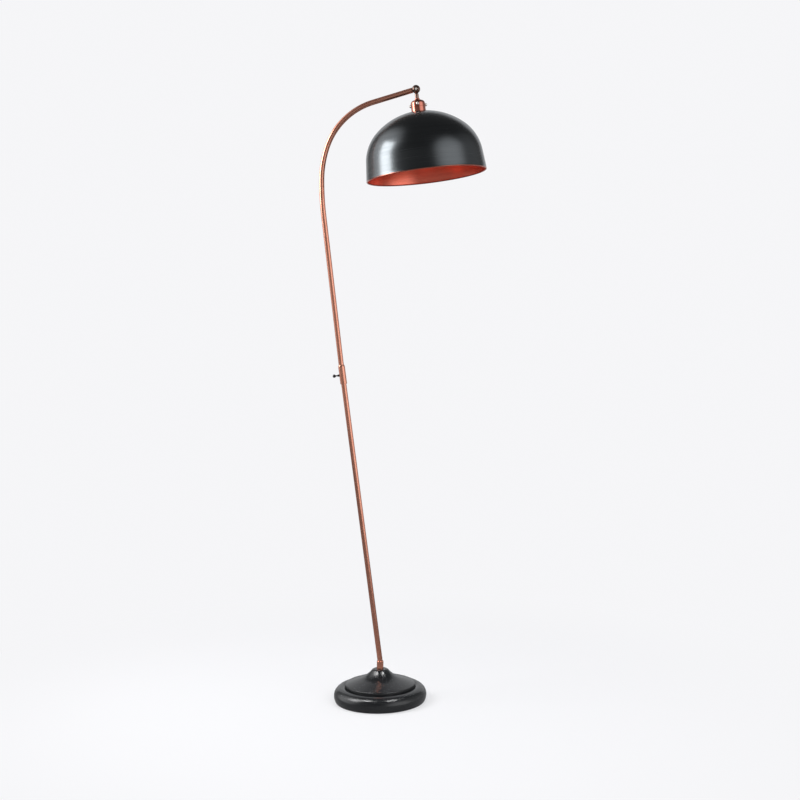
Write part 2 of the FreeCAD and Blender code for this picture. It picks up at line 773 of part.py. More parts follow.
def shade():
    """Spun bowl with a flat seat at its hole and a turned-in hem at its rim."""
    outside, rim = shade_side(0)
    inside, rim_in = shade_side(shade_wall)
    hem_top = rim_in + unit(90 + shade_taper) * shade_hem
    hem_in = unit(shade_taper) * shade_wall
    outside.to(rim.x, rim.z)
    inside.to(hem_top.x, hem_top.z).to(hem_top.x - hem_in.x, hem_top.z - hem_in.z)
    inside.to(rim_in.x - hem_in.x, rim_in.z - hem_in.z)
    return placed(wall_between(outside, inside), head_frame)


# ------------------------------------------------------------------ output
PARTS = {
    "base_cover": base_cover,
    "base_weight": base_weight,
    "base_plate": base_plate,
    "plate_screws": plate_screw_set,
    "felt_pad": felt_pad,
    "cord_bush": cord_bush,
    "foot_washer": foot_washer,
    "foot_nut": foot_nut,
    "foot_stud": foot_stud,
    "ferrule": ferrule,
    "lower_tube": lower_tube,
    "sleeve": sleeve,
    "thumb_screw": thumb_screw,
    "upper_tube": upper_tube,
    "arm_knuckle": arm_knuckle,
    "pivot_screw": pivot_screw,
    "pivot_nut": pivot_nut,
    "head_knuckle": head_knuckle,
    "friction_washers": friction_washers,
    "lampholder_cap": lampholder_cap,
    "gallery_screws": gallery_screw_set,
    "lampholder_cup": lampholder_cup,
    "insulator": insulator,
    "thread_shell": thread_shell,
    "centre_contact": centre_contact,
    "terminals": terminals,
    "shade_ring": shade_ring,
    "shade": shade,
}


def main():
    os.makedirs("parts", exist_ok=True)
    for name, make in PARTS.items():
        shape = make()
        shape.exportStep(os.path.join("parts", name + ".step"))
        lows, highs = shape.BoundBox.getPoint(0), shape.BoundBox.getPoint(6)
        print(f"{name:18s} solids {len(shape.Solids)} valid {shape.isValid()} volume {shape.Volume / 1000:9.2f} cm3"
              f"  z {lows.z:8.1f} to {highs.z:8.1f}")
    print("pivot", pivot, "sleeve", sleeve_frame.Base, "pole", pole_dir)


main()
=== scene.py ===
"""Bridge floor lamp, dressed: enamelled foot, copper pole and arm, ball knuckle and bowl shade.

Metres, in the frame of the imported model: origin on the floor under the foot's centre,
+Z up, +X the way the arm reaches. The pole, the arm and the shade's axis lie in y = 0.
The lamp's own sizes are in millimetres and its angles in degrees.
"""

import logging
import math
from dataclasses import dataclass, field
from enum import Enum
from typing import Iterable, Optional, Union

import bpy
from mathutils import Matrix, Vector

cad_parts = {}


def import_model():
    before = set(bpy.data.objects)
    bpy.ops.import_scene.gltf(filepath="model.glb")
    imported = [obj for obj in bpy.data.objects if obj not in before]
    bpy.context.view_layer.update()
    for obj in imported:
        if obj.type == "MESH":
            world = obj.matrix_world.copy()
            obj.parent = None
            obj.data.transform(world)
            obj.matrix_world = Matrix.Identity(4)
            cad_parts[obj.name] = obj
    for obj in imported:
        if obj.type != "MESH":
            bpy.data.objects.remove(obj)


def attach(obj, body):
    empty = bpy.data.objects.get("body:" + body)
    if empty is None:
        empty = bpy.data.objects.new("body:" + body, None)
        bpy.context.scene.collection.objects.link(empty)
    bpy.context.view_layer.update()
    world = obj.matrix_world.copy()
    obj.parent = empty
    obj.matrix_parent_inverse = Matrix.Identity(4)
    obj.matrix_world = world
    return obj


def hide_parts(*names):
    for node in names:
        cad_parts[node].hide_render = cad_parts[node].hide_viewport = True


LOG = logging.getLogger("bridge_lamp")
MM = 0.001
TAU = 2.0 * math.pi
WELD = 1e-7        # metres between points that are one, in a drawn piece
SOLID_WELD = 2e-6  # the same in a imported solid

Value = Union["Socket", float]
Colour = Union["Socket", tuple]
Point = tuple[float, float]


# ------------------------------------------------------------------ shader helpers
class Op(Enum):
    """Math node operations used by the socket arithmetic."""

    ADD = "ADD"
    SUBTRACT = "SUBTRACT"
    MULTIPLY = "MULTIPLY"
    POWER = "POWER"
    ARCTAN2 = "ARCTAN2"


class Socket:
    """One output socket with arithmetic that adds Math nodes."""

    def __init__(self, graph: "Graph", link: bpy.types.NodeSocket) -> None:
        """Wrap a socket.

        Args:
            graph: the graph that the socket belongs to.
            link: the output socket itself.
        """
        self.graph = graph
        self.link = link

    def __add__(self, other: Value) -> "Socket":
        """Sum."""
        return self.graph.math(Op.ADD, self, other)

    __radd__ = __add__

    def __mul__(self, other: Value) -> "Socket":
        """Product."""
        return self.graph.math(Op.MULTIPLY, self, other)

    __rmul__ = __mul__

    def __sub__(self, other: Value) -> "Socket":
        """Difference."""
        return self.graph.math(Op.SUBTRACT, self, other)

    def __rsub__(self, other: Value) -> "Socket":
        """Difference with the socket on the right."""
        return self.graph.math(Op.SUBTRACT, other, self)

    def __pow__(self, other: Value) -> "Socket":
        """Power."""
        return self.graph.math(Op.POWER, self, other)

    def swing(self, size: float) -> "Socket":
        """A pattern of 0 to 1 made one of this size about zero."""
        return (self - 0.5) * size


class Graph:
    """Node tree of one material or world, built from expressions."""

    def __init__(self, name: str, world: bool = False) -> None:
        """Start an empty material or world.

        Args:
            name: its name.
            world: whether it is a world.
        """
        self.owner = (bpy.data.worlds if world else bpy.data.materials).new(name)
        self.owner.use_nodes = True
        self.tree = self.owner.node_tree
        self.tree.nodes.clear()
        kind = "ShaderNodeOutputWorld" if world else "ShaderNodeOutputMaterial"
        self.out = self.tree.nodes.new(kind)

    def node(self, kind: str, settings: Optional[dict] = None,
             inputs: Optional[dict] = None) -> bpy.types.Node:
        """Add a node.

        Args:
            kind: the node's type.
            settings: attributes, which are set first.
            inputs: values or sockets by input name or number.

        Returns:
            The node.
        """
        made = self.tree.nodes.new(kind)
        for key, value in (settings or {}).items():
            setattr(made, key, value)
        for key, value in (inputs or {}).items():
            socket = made.inputs[key]
            if isinstance(value, Socket):
                self.tree.links.new(value.link, socket)
            else:
                socket.default_value = value
        return made

    def get(self, kind: str, output: Union[str, int], settings: Optional[dict] = None,
            inputs: Optional[dict] = None) -> Socket:
        """Add a node and return one of its outputs.

        Args:
            kind: the node's type.
            output: the output's name or number.
            settings: as for node.
            inputs: as for node.

        Returns:
            The output, wrapped.
        """
        return Socket(self, self.node(kind, settings, inputs).outputs[output])

    def math(self, op: Op, *values: Value) -> Socket:
        """Add a Math node for an operation on values or sockets."""
        return self.get("ShaderNodeMath", 0, {"operation": op.value}, dict(enumerate(values)))

    def place(self) -> Socket:
        """Object coordinates, in metres."""
        return self.get("ShaderNodeTexCoord", "Object")

    def parts(self, vector: Socket) -> tuple[Socket, Socket, Socket]:
        """X, Y and Z of a vector."""
        split = self.node("ShaderNodeSeparateXYZ", inputs={"Vector": vector})
        return tuple(Socket(self, split.outputs[k]) for k in range(3))

    def joined(self, *parts: Socket) -> Socket:
        """Vector of three sockets."""
        return self.get("ShaderNodeCombineXYZ", 0, inputs=dict(enumerate(parts)))

    def radius(self, x: Socket, y: Socket) -> Socket:
        """Distance from the axis that x and y are measured from."""
        return (x * x + y * y) ** 0.5

    def noise(self, vector: Socket, scale: float, detail: float, rough: float) -> Socket:
        """Noise on a vector, 0 to 1.

        Args:
            vector: where it is read.
            scale: its scale.
            detail: its octaves.
            rough: its roughness.

        Returns:
            The noise.
        """
        inputs = {"Vector": vector, "Scale": scale, "Detail": detail, "Roughness": rough}
        return self.get("ShaderNodeTexNoise", "Fac", {"noise_dimensions": "3D"}, inputs)

    def ramp(self, value: Socket, low: float, high: float) -> Socket:
        """Value mapped to 0 at low and 1 at high, clamped and smooth."""
        return self.get("ShaderNodeMapRange", "Result", {"interpolation_type": "SMOOTHSTEP"},
                        {"Value": value, "From Min": low, "From Max": high})

    def blend(self, factor: Value, first: Colour, second: Colour) -> Socket:
        """Mix two colours.

        Args:
            factor: 0 for the first, 1 for the second.
            first: a colour or socket.
            second: a colour or socket.

        Returns:
            The mixed colour.
        """
        inputs = {0: factor, 6: first, 7: second}
        return self.get("ShaderNodeMix", 2, {"data_type": "RGBA"}, inputs)

    def stretched(self, vector: Socket, scale: tuple, lean: float = 0.0) -> Socket:
        """Coordinates turned about Y, then scaled.

        Args:
            vector: the coordinates.
            scale: factors along X, Y and Z.
            lean: degrees about Y.

        Returns:
            The new coordinates.
        """
        kind = {"vector_type": "POINT"}
        if lean:
            turn = (0.0, math.radians(lean), 0.0)
            vector = self.get("ShaderNodeMapping", 0, kind, {"Vector": vector, "Rotation": turn})
        return self.get("ShaderNodeMapping", 0, kind, {"Vector": vector, "Scale": scale})

    def bump(self, height: Socket, strength: float, distance: float) -> Socket:
        """Bump from a height.

        Args:
            height: the height.
            strength: how much of it.
            distance: its depth in metres.

        Returns:
            The normal.
        """
        inputs = {"Height": height, "Strength": strength, "Distance": distance}
        return self.get("ShaderNodeBump", "Normal", inputs=inputs)

    def surface(self, **inputs: Union[Value, tuple]) -> bpy.types.Material:
        """Finish with one Principled shader.

        Args:
            inputs: its inputs, with underscores for spaces.

        Returns:
            The material.
        """
        named = {key.replace("_", " "): value for key, value in inputs.items()}
        shader = self.node("ShaderNodeBsdfPrincipled", inputs=named)
        self.end(shader)
        return self.owner

    def mix(self, share: Value, first: bpy.types.Node, second: bpy.types.Node) -> bpy.types.Node:
        """Mix two shaders.

        Args:
            share: 0 for the first, 1 for the second.
            first: a shader.
            second: a shader.

        Returns:
            The mixed shader.
        """
        mixed = self.node("ShaderNodeMixShader", inputs={0: share})
        self.tree.links.new(first.outputs[0], mixed.inputs[1])
        self.tree.links.new(second.outputs[0], mixed.inputs[2])
        return mixed

    def light(self, colour: Colour, strength: float = 1.0) -> bpy.types.Node:
        """Emission of a colour, or in a world its background.

        Args:
            colour: the colour.
            strength: its strength.

        Returns:
            The shader.
        """
        world = isinstance(self.owner, bpy.types.World)
        kind = "ShaderNodeBackground" if world else "ShaderNodeEmission"
        return self.node(kind, inputs={"Color": colour, "Strength": strength})

    def end(self, shader: bpy.types.Node) -> None:
        """Link the last shader to the output."""
        self.tree.links.new(shader.outputs[0], self.out.inputs["Surface"])


# ------------------------------------------------------------------ finishes
def rgb(red: float, green: float, blue: float) -> tuple[float, float, float, float]:
    """Linear colour with full alpha."""
    return (red, green, blue, 1.0)


@dataclass(frozen=True)
class Enamel:
    """Sprayed enamel: orange peel, faint dust and a soft wear of gloss."""

    name: str
    colour: tuple
    dust: tuple
    rough: float = 0.16
    peel: float = 0.000008

    def build(self) -> bpy.types.Material:
        """Make the material.

        Returns:
            The material.
        """
        g = Graph(self.name)
        at = g.place()
        cloud = g.noise(at, scale=9.0, detail=5.0, rough=0.55)
        fine = g.noise(at, scale=420.0, detail=3.0, rough=0.5)
        peel = g.noise(at, scale=190.0, detail=2.0, rough=0.4)
        colour = g.blend(g.ramp(cloud, low=0.35, high=0.75) * 0.5, self.colour, self.dust)
        return g.surface(Base_Color=colour,
                         Roughness=self.rough + cloud.swing(0.06) + fine.swing(0.03),
                         Normal=g.bump(peel, strength=0.3, distance=self.peel),
                         Specular_IOR_Level=0.5)


@dataclass(frozen=True)
class Spun:
    """Spun and sprayed shell: fine rings round the shade's axis under a satin enamel."""

    name: str
    colour: tuple
    dust: tuple
    rough: float = 0.22
    metallic: float = 0.0
    ring_share: float = 0.5
    coat: float = 0.0
    lean: float = 7.0
    axis_at: tuple = (0.1013056, 0.0, 1.634)

    def build(self) -> bpy.types.Material:
        """Make the material.

        Returns:
            The material.
        """
        g = Graph(self.name)
        at = g.place()
        head = g.get("ShaderNodeMapping", 0, {"vector_type": "TEXTURE"},
                     {"Vector": at, "Location": self.axis_at,
                      "Rotation": (0.0, math.radians(-self.lean), 0.0)})
        across, along, down = g.parts(head)
        radius, turn = g.radius(across, along), g.math(Op.ARCTAN2, along, across)
        rings = g.noise(g.joined(down * 1100.0, radius * 700.0, turn * 0.8),
                        scale=1.0, detail=3.0, rough=0.65)
        broad = g.noise(g.joined(down * 130.0, radius * 90.0, turn * 0.35),
                        scale=1.0, detail=2.0, rough=0.5)
        cloud = g.noise(at, scale=11.0, detail=5.0, rough=0.55)
        share = g.ramp(rings * 0.6 + broad * 0.4, low=0.36, high=0.64) * self.ring_share
        return g.surface(Base_Color=g.blend(share + cloud.swing(0.3), self.colour, self.dust),
                         Metallic=self.metallic, Coat_Weight=self.coat, Coat_Roughness=0.12,
                         Roughness=self.rough + rings.swing(0.16) + cloud.swing(0.06),
                         Normal=g.bump(rings, strength=0.25, distance=0.00002))


@dataclass(frozen=True)
class Plate:
    """Polished plated metal under lacquer: drawn lines, cloudy tarnish, tiny pits."""

    name: str
    colour: tuple
    tarnish: tuple
    rough: float = 0.2
    grain: tuple = (900.0, 900.0, 14.0)
    lean: float = 0.0
    tarnish_share: float = 0.55
    metallic: float = 1.0

    def build(self) -> bpy.types.Material:
        """Make the material.

        Returns:
            The material.
        """
        g = Graph(self.name)
        at = g.place()
        cloud = g.noise(at, scale=26.0, detail=6.0, rough=0.6)
        spots = g.noise(at, scale=180.0, detail=3.0, rough=0.6)
        lines = g.noise(g.stretched(at, self.grain, self.lean), scale=1.0, detail=3.0, rough=0.6)
        worn = g.ramp(cloud, low=0.38, high=0.78) * self.tarnish_share
        marks = g.ramp(spots, low=0.62, high=0.8) * 0.3
        colour = g.blend(worn + marks * 0.5, self.colour, self.tarnish)
        return g.surface(Base_Color=colour, Metallic=self.metallic,
                         Roughness=self.rough + lines.swing(0.06) + worn * 0.1 + marks * 0.08,
                         Normal=g.bump(lines, strength=0.06, distance=0.000003))


@dataclass(frozen=True)
class Cast:
    """Rough cast or moulded surface."""

    name: str
    colour: tuple
    pale: tuple
    rough: float = 0.7
    metallic: float = 0.0
    scale: float = 240.0
    depth: float = 0.0003

    def build(self) -> bpy.types.Material:
        """Make the material.

        Returns:
            The material.
        """
        g = Graph(self.name)
        at = g.place()
        cloud = g.noise(at, scale=30.0, detail=5.0, rough=0.6)
        grit = g.noise(at, scale=self.scale, detail=4.0, rough=0.6)
        mottle = g.ramp(cloud * 0.5 + grit * 0.5, low=0.4, high=0.65)
        colour = g.blend(mottle, self.colour, self.pale)
        return g.surface(Base_Color=colour, Metallic=self.metallic,
                         Roughness=self.rough + grit.swing(0.2),
                         Normal=g.bump(grit, strength=0.6, distance=self.depth))


@dataclass(frozen=True)
class Felt:
    """Pressed felt: short tangled fibres."""

    name: str
    colour: tuple
    pale: tuple

    def build(self) -> bpy.types.Material:
        """Make the material.

        Returns:
            The material.
        """
        g = Graph(self.name)
        at = g.place()
        fibres = g.noise(g.stretched(at, (1400.0, 500.0, 900.0)), scale=1.0, detail=5.0, rough=0.7)
        tufts = g.noise(at, scale=300.0, detail=4.0, rough=0.6)
        mottle = g.ramp(fibres * 0.6 + tufts * 0.4, low=0.35, high=0.65)
        colour = g.blend(mottle, self.colour, self.pale)
        return g.surface(Base_Color=colour, Roughness=0.95, Sheen_Weight=0.4,
                         Normal=g.bump(fibres + tufts, strength=0.8, distance=0.0004))


@dataclass(frozen=True)
class Glaze:
    """Glazed ceramic, off-white with a slight mottling."""

    name: str
    colour: tuple
    shade: tuple

    def build(self) -> bpy.types.Material:
        """Make the material.

        Returns:
            The material.
        """
        g = Graph(self.name)
        at = g.place()
        cloud = g.noise(at, scale=120.0, detail=4.0, rough=0.6)
        colour = g.blend(g.ramp(cloud, low=0.4, high=0.7), self.colour, self.shade)
        return g.surface(Base_Color=colour, Roughness=0.12 + cloud.swing(0.08),
                         Normal=g.bump(cloud, strength=0.2, distance=0.0001),
                         Coat_Weight=0.5, Coat_Roughness=0.05)


@dataclass(frozen=True)
class Finishes:
    """All the finishes of the lamp."""

    foot: Enamel = Enamel("foot_enamel", rgb(0.0085, 0.0095, 0.0105), rgb(0.017, 0.018, 0.02),
                          rough=0.26)
    shade_out: Spun = Spun("shade_enamel", rgb(0.080, 0.087, 0.092), rgb(0.115, 0.122, 0.127),
                           rough=0.24, metallic=1.0)
    shade_in: Spun = Spun("shade_copper", rgb(0.82, 0.175, 0.10), rgb(0.64, 0.11, 0.06),
                          rough=0.24, metallic=0.82, ring_share=0.6, coat=0.6)
    thumb: Enamel = Enamel("thumb_black", rgb(0.012, 0.010, 0.010), rgb(0.03, 0.024, 0.022),
                           rough=0.2)
    copper: Plate = Plate("copper_tube", rgb(0.63, 0.28, 0.195), rgb(0.46, 0.15, 0.09),
                          rough=0.19, lean=-6.7, tarnish_share=0.35, metallic=0.88)
    copper_turned: Plate = Plate("copper_turned", rgb(0.46, 0.165, 0.12), rgb(0.31, 0.095, 0.062),
                                 rough=0.16, grain=(60.0, 60.0, 2500.0), lean=-7.0,
                                 tarnish_share=0.4)
    bronze: Plate = Plate("knuckle_bronze", rgb(0.24, 0.15, 0.12), rgb(0.09, 0.055, 0.045),
                          rough=0.17, grain=(700.0, 700.0, 700.0))
    chrome: Plate = Plate("screw_nickel", rgb(0.80, 0.74, 0.69), rgb(0.58, 0.50, 0.45),
                          rough=0.36, grain=(700.0, 700.0, 700.0), tarnish_share=0.3,
                          metallic=0.75)
    zinc: Plate = Plate("zinc_plate", rgb(0.60, 0.60, 0.57), rgb(0.46, 0.46, 0.42),
                        rough=0.36, grain=(500.0, 500.0, 500.0))
    brass: Plate = Plate("brass", rgb(0.78, 0.56, 0.24), rgb(0.55, 0.36, 0.14),
                         rough=0.26, grain=(60.0, 60.0, 1500.0), lean=-7.0)
    iron: Cast = Cast("cast_iron", rgb(0.045, 0.043, 0.04), rgb(0.09, 0.08, 0.07),
                      rough=0.75, metallic=0.4)
    plastic: Cast = Cast("moulded_black", rgb(0.02, 0.02, 0.02), rgb(0.03, 0.03, 0.03),
                         rough=0.45, scale=900.0, depth=0.00005)
    fibre: Cast = Cast("pressed_fibre", rgb(0.11, 0.045, 0.02), rgb(0.18, 0.08, 0.04),
                       rough=0.7, scale=800.0, depth=0.00005)
    felt: Felt = Felt("felt", rgb(0.02, 0.02, 0.021), rgb(0.055, 0.055, 0.056))
    ceramic: Glaze = Glaze("glazed_ceramic", rgb(0.80, 0.78, 0.72), rgb(0.72, 0.69, 0.62))


class Paintbox:
    """Builds each finish once and hands out its material."""

    def __init__(self, finishes: Finishes) -> None:
        """Keep the finishes.

        Args:
            finishes: the lamp's finishes.
        """
        self.finishes = finishes
        self._made: dict[str, bpy.types.Material] = {}

    def get(self, name: str) -> bpy.types.Material:
        """Material of a finish.

        Args:
            name: the finish's field name.

        Returns:
            The material.
        """
        if name not in self._made:
            self._made[name] = getattr(self.finishes, name).build()
        return self._made[name]

    def dress(self, piece: bpy.types.Object, *names: str) -> None:
        """Give a piece its materials.

        Args:
            piece: the object.
            names: one finish for each of its material slots.
        """
        piece.data.materials.clear()
        for name in names:
            piece.data.materials.append(self.get(name))


# ------------------------------------------------------------------ modelling helpers
def unit(angle: float) -> Vector:
    """Unit vector in y = 0, degrees from +X towards +Z."""
    return Vector((math.cos(math.radians(angle)), 0.0, math.sin(math.radians(angle))))


def only(piece: Optional[bpy.types.Object]) -> None:
    """Deselect everything, then select a piece and make it active.

    Args:
        piece: the piece, or None to leave nothing selected.
    """
    bpy.ops.object.select_all(action="DESELECT")
    bpy.context.view_layer.objects.active = piece
    if piece is not None:
        piece.select_set(True)


@dataclass
class Profile:
    """Half outline of a turned piece: radii and heights."""

    points: list[Point] = field(default_factory=list)
    same: float = 1e-5

    def to(self, *points: Point) -> "Profile":
        """Straight lines to points."""
        self.points.extend(points)
        return self

    def arc(self, centre: Point, radius: float, start: float, end: float,
            steps: int = 8) -> "Profile":
        """Arc about a centre.

        Args:
            centre: its centre.
            radius: its radius.
            start: its first angle.
            end: its last angle.
            steps: its number of chords.

        Returns:
            The profile.
        """
        for k in range(steps + 1):
            turn = math.radians(start + (end - start) * k / steps)
            point = (centre[0] + radius * math.cos(turn), centre[1] + radius * math.sin(turn))
            if not self.points or math.dist(point, self.points[-1]) > self.same:
                self.points.append(point)
        return self


@dataclass
class Workbench:
    """Shapes new pieces with mesh operators and puts them in the lamp's frame.

    A tube has a ring for each run_step of a run and for each bend_step of a bend. In a copy of
    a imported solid, faces that lie within flat degrees of each other become one.
    """

    run_step: float = 60.0
    bend_step: float = 1.5
    tube_sharp: float = 40.0
    flat: float = 0.5

    def turn(self, name: str, profile: Profile, frame: Matrix, steps: int = 96,
             closed: bool = True, sharp: float = 32.0) -> bpy.types.Object:
        """Turned piece: a profile drawn by extruding a point, then spun about the z axis.

        Args:
            name: the piece's name.
            profile: its half outline.
            frame: where its own frame lies in the lamp's.
            steps: segments round the axis.
            closed: whether the last point joins the first.
            sharp: edges over this many degrees stay sharp.

        Returns:
            The piece.
        """
        only(None)
        points = [(max(r, 0.0) * MM, z * MM) for r, z in profile.points]
        bpy.ops.mesh.primitive_plane_add(size=MM, location=(points[0][0], 0.0, points[0][1]))
        piece = bpy.context.object
        piece.name = piece.data.name = name
        bpy.ops.object.transform_apply(location=True, rotation=True, scale=True)
        bpy.ops.object.mode_set(mode="EDIT")
        bpy.ops.mesh.select_all(action="SELECT")
        bpy.ops.mesh.merge(type="CENTER")
        loop = points[1:] + (points[:1] if closed else [])
        at = points[0]
        for r, z in loop:
            step = (r - at[0], 0.0, z - at[1])
            bpy.ops.mesh.extrude_vertices_move(TRANSFORM_OT_translate={"value": step})
            at = (r, z)
        self._weld(WELD)
        bpy.ops.mesh.spin(steps=steps, angle=TAU, center=(0.0, 0.0, 0.0), axis=(0.0, 0.0, 1.0))
        self._close()
        return self.place(piece, frame, sharp)

    def tube(self, name: str, path: "TubePath", radius: float, wall: float,
             sides: int = 40) -> bpy.types.Object:
        """Bent tube: a circle extruded along the runs and spun through the bends.

        Args:
            name: the piece's name.
            path: its centre line.
            radius: its outer radius.
            wall: its wall.
            sides: segments round it.

        Returns:
            The piece.
        """
        only(None)
        turn = math.radians(90.0 - path.heading)
        bpy.ops.mesh.primitive_circle_add(vertices=sides, radius=radius * MM, fill_type="NOTHING",
                                          location=path.start, rotation=(0.0, turn, 0.0))
        piece = bpy.context.object
        piece.name = piece.data.name = name
        bpy.ops.object.transform_apply(location=True, rotation=True, scale=True)
        bpy.ops.object.mode_set(mode="EDIT")
        bpy.ops.mesh.select_all(action="SELECT")
        at, heading = path.start.copy(), path.heading
        for step in path.steps:
            if isinstance(step, Run):
                pieces = max(1, round(step.length / self.run_step))
                for _ in range(pieces):
                    move = unit(heading) * (step.length * MM / pieces)
                    bpy.ops.mesh.extrude_edges_move(TRANSFORM_OT_translate={"value": tuple(move)})
                    at = at + move
            else:
                centre = at + unit(heading - 90.0) * (step.radius * MM)
                parts = max(3, round(abs(step.turn) / self.bend_step))
                bpy.ops.mesh.spin(steps=parts, angle=math.radians(-step.turn),
                                  center=tuple(centre), axis=(0.0, 1.0, 0.0))
                at = centre + unit(heading + 90.0 - step.turn) * (step.radius * MM)
                heading -= step.turn
        self._close()
        thick = piece.modifiers.new("wall", "SOLIDIFY")
        thick.thickness, thick.offset = wall * MM, -1.0
        self.apply(piece, thick)
        return self.place(piece, Matrix.Identity(4), self.tube_sharp)

    def refined(self, node: str, name: str, edge: float, sharp: float = 30.0) -> bpy.types.Object:
        """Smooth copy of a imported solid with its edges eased.

        Args:
            node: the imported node.
            name: the copy's name.
            edge: width of the eased edges.
            sharp: edges over this many degrees are eased.

        Returns:
            The copy.
        """
        piece = self.copy(bpy.data.objects[node], name)
        only(piece)
        bpy.ops.object.mode_set(mode="EDIT")
        self._weld(SOLID_WELD)
        bpy.ops.mesh.dissolve_limited(angle_limit=math.radians(self.flat))
        bpy.ops.object.mode_set(mode="OBJECT")
        ease = piece.modifiers.new("eased", "BEVEL")
        ease.width, ease.segments, ease.limit_method = edge * MM, 2, "ANGLE"
        ease.angle_limit = math.radians(sharp)
        self.apply(piece, ease)
        return self.place(piece, Matrix.Identity(4), sharp)

    @staticmethod
    def copy(piece: bpy.types.Object, name: str) -> bpy.types.Object:
        """Copy a piece, with a mesh of its own.

        Args:
            piece: the piece.
            name: the copy's name.

        Returns:
            The copy.
        """
        twin = bpy.data.objects.new(name, piece.data.copy())
        twin.data.name = name
        bpy.context.scene.collection.objects.link(twin)
        return twin

    @staticmethod
    def _weld(gap: float) -> None:
        """Merge points closer than a gap in metres, and select everything.

        Args:
            gap: the gap.
        """
        bpy.ops.mesh.select_all(action="SELECT")
        bpy.ops.mesh.remove_doubles(threshold=gap)
        bpy.ops.mesh.select_all(action="SELECT")

    def _close(self) -> None:
        """Merge doubles, point the faces outwards and leave edit mode."""
        self._weld(WELD)
        bpy.ops.mesh.normals_make_consistent(inside=False)
        bpy.ops.object.mode_set(mode="OBJECT")

    @staticmethod
    def apply(piece: bpy.types.Object, modifier: bpy.types.Modifier) -> None:
        """Apply a modifier."""
        only(piece)
        bpy.ops.object.modifier_apply(modifier=modifier.name)

    @staticmethod
    def place(piece: bpy.types.Object, frame: Matrix, sharp: float) -> bpy.types.Object:
        """Move a piece's mesh into the lamp's frame and smooth it.

        Args:
            piece: the object.
            frame: where its own frame lies.
            sharp: edges over this many degrees stay sharp.

        Returns:
            The piece.
        """
        piece.data.transform(frame)
        piece.matrix_world = Matrix.Identity(4)
        only(piece)
        bpy.ops.object.shade_smooth_by_angle(angle=math.radians(sharp))
        return piece


@dataclass(frozen=True)
class Run:
    """Straight run of a tube."""

    length: float


@dataclass(frozen=True)
class Bend:
    """Bend of a tube: its radius and its clockwise turn."""

    radius: float
    turn: float


@dataclass
class TubePath:
    """Centre line of a tube: its start in metres, its first heading and its steps."""

    start: Vector
    heading: float
    steps: list[Union[Run, Bend]] = field(default_factory=list)

    def end(self) -> tuple[Vector, float]:
        """Follow the steps.

        Returns:
            The last point in metres and the last heading.
        """
        at, heading = self.start.copy(), self.heading
        for step in self.steps:
            if isinstance(step, Run):
                at = at + unit(heading) * (step.length * MM)
            else:
                centre = at + unit(heading - 90.0) * (step.radius * MM)
                at = centre + unit(heading + 90.0 - step.turn) * (step.radius * MM)
                heading -= step.turn
        return at, heading


def leaning(origin: Vector, lean: float) -> Matrix:
    """Frame at a point in metres, with its z axis leaning towards -X."""
    return Matrix.Translation(origin) @ Matrix.Rotation(math.radians(-lean), 4, "Y")


# ------------------------------------------------------------------ the lamp's main lines
@dataclass(frozen=True)
class Lines:
    """Main lines that the sub-assemblies share."""

    overall: float = 1645.0
    ball_r: float = 11.0
    lean: float = 7.1
    bend_z: float = 107.0
    foot_bend: float = 60.0
    tube_r: float = 7.0
    tube_wall: float = 1.0
    sleeve_l: float = 51.0
    socket: float = 33.0
    meet_gap: float = 0.3
    ferrule_seat: float = 92.5
    upper: tuple = (Run(24.0), Bend(300.0, 0.77), Run(390.3), Bend(737.0, 7.13),
                    Bend(275.0, 17.86), Bend(184.5, 54.56), Run(106.4))
    collar_face: float = 12.5
    head_lean: float = 7.0
    shade_seat: float = 60.0

    def pole_length(self) -> float:
        """Length of the lower tube above its bend.

        Returns:
            The length that brings the ball's top to the overall height.
        """
        end, heading = TubePath(Vector((0, 0, 0)), 90 + self.lean, list(self.upper)).end()
        rise = end.z / MM + self.collar_face * math.sin(math.radians(heading))
        return (self.overall - self.ball_r - rise - self.bend_z) / math.cos(math.radians(self.lean))

    def meet(self) -> Vector:
        """Point where the tubes meet."""
        return Vector((0, 0, self.bend_z * MM)) + unit(90 + self.lean) * (self.pole_length() * MM)

    def sleeve_frame(self) -> Matrix:
        """Frame at the sleeve's lower end."""
        return leaning(self.meet() - unit(90 + self.lean) * (self.socket * MM), self.lean)

    def upper_path(self) -> TubePath:
        """Centre line of the upper tube."""
        return TubePath(self.meet(), 90 + self.lean, list(self.upper))

    def pivot(self) -> Vector:
        """Tilt axis."""
        end, heading = self.upper_path().end()
        return end + unit(heading) * (self.collar_face * MM)

    def head_frame(self) -> Matrix:
        """Frame at the pivot whose z axis is the shade's."""
        return leaning(self.pivot(), self.head_lean)

    def lower_path(self) -> TubePath:
        """Centre line of the lower tube.

        Returns:
            The centre line, from its seat in the ferrule.
        """
        tangent = self.foot_bend * math.tan(math.radians(self.lean) / 2)
        return TubePath(Vector((0, 0, self.ferrule_seat * MM)), 90.0,
                        [Run(self.bend_z - tangent - self.ferrule_seat),
                         Bend(-self.foot_bend, -self.lean),
                         Run(self.pole_length() - tangent - self.meet_gap)])


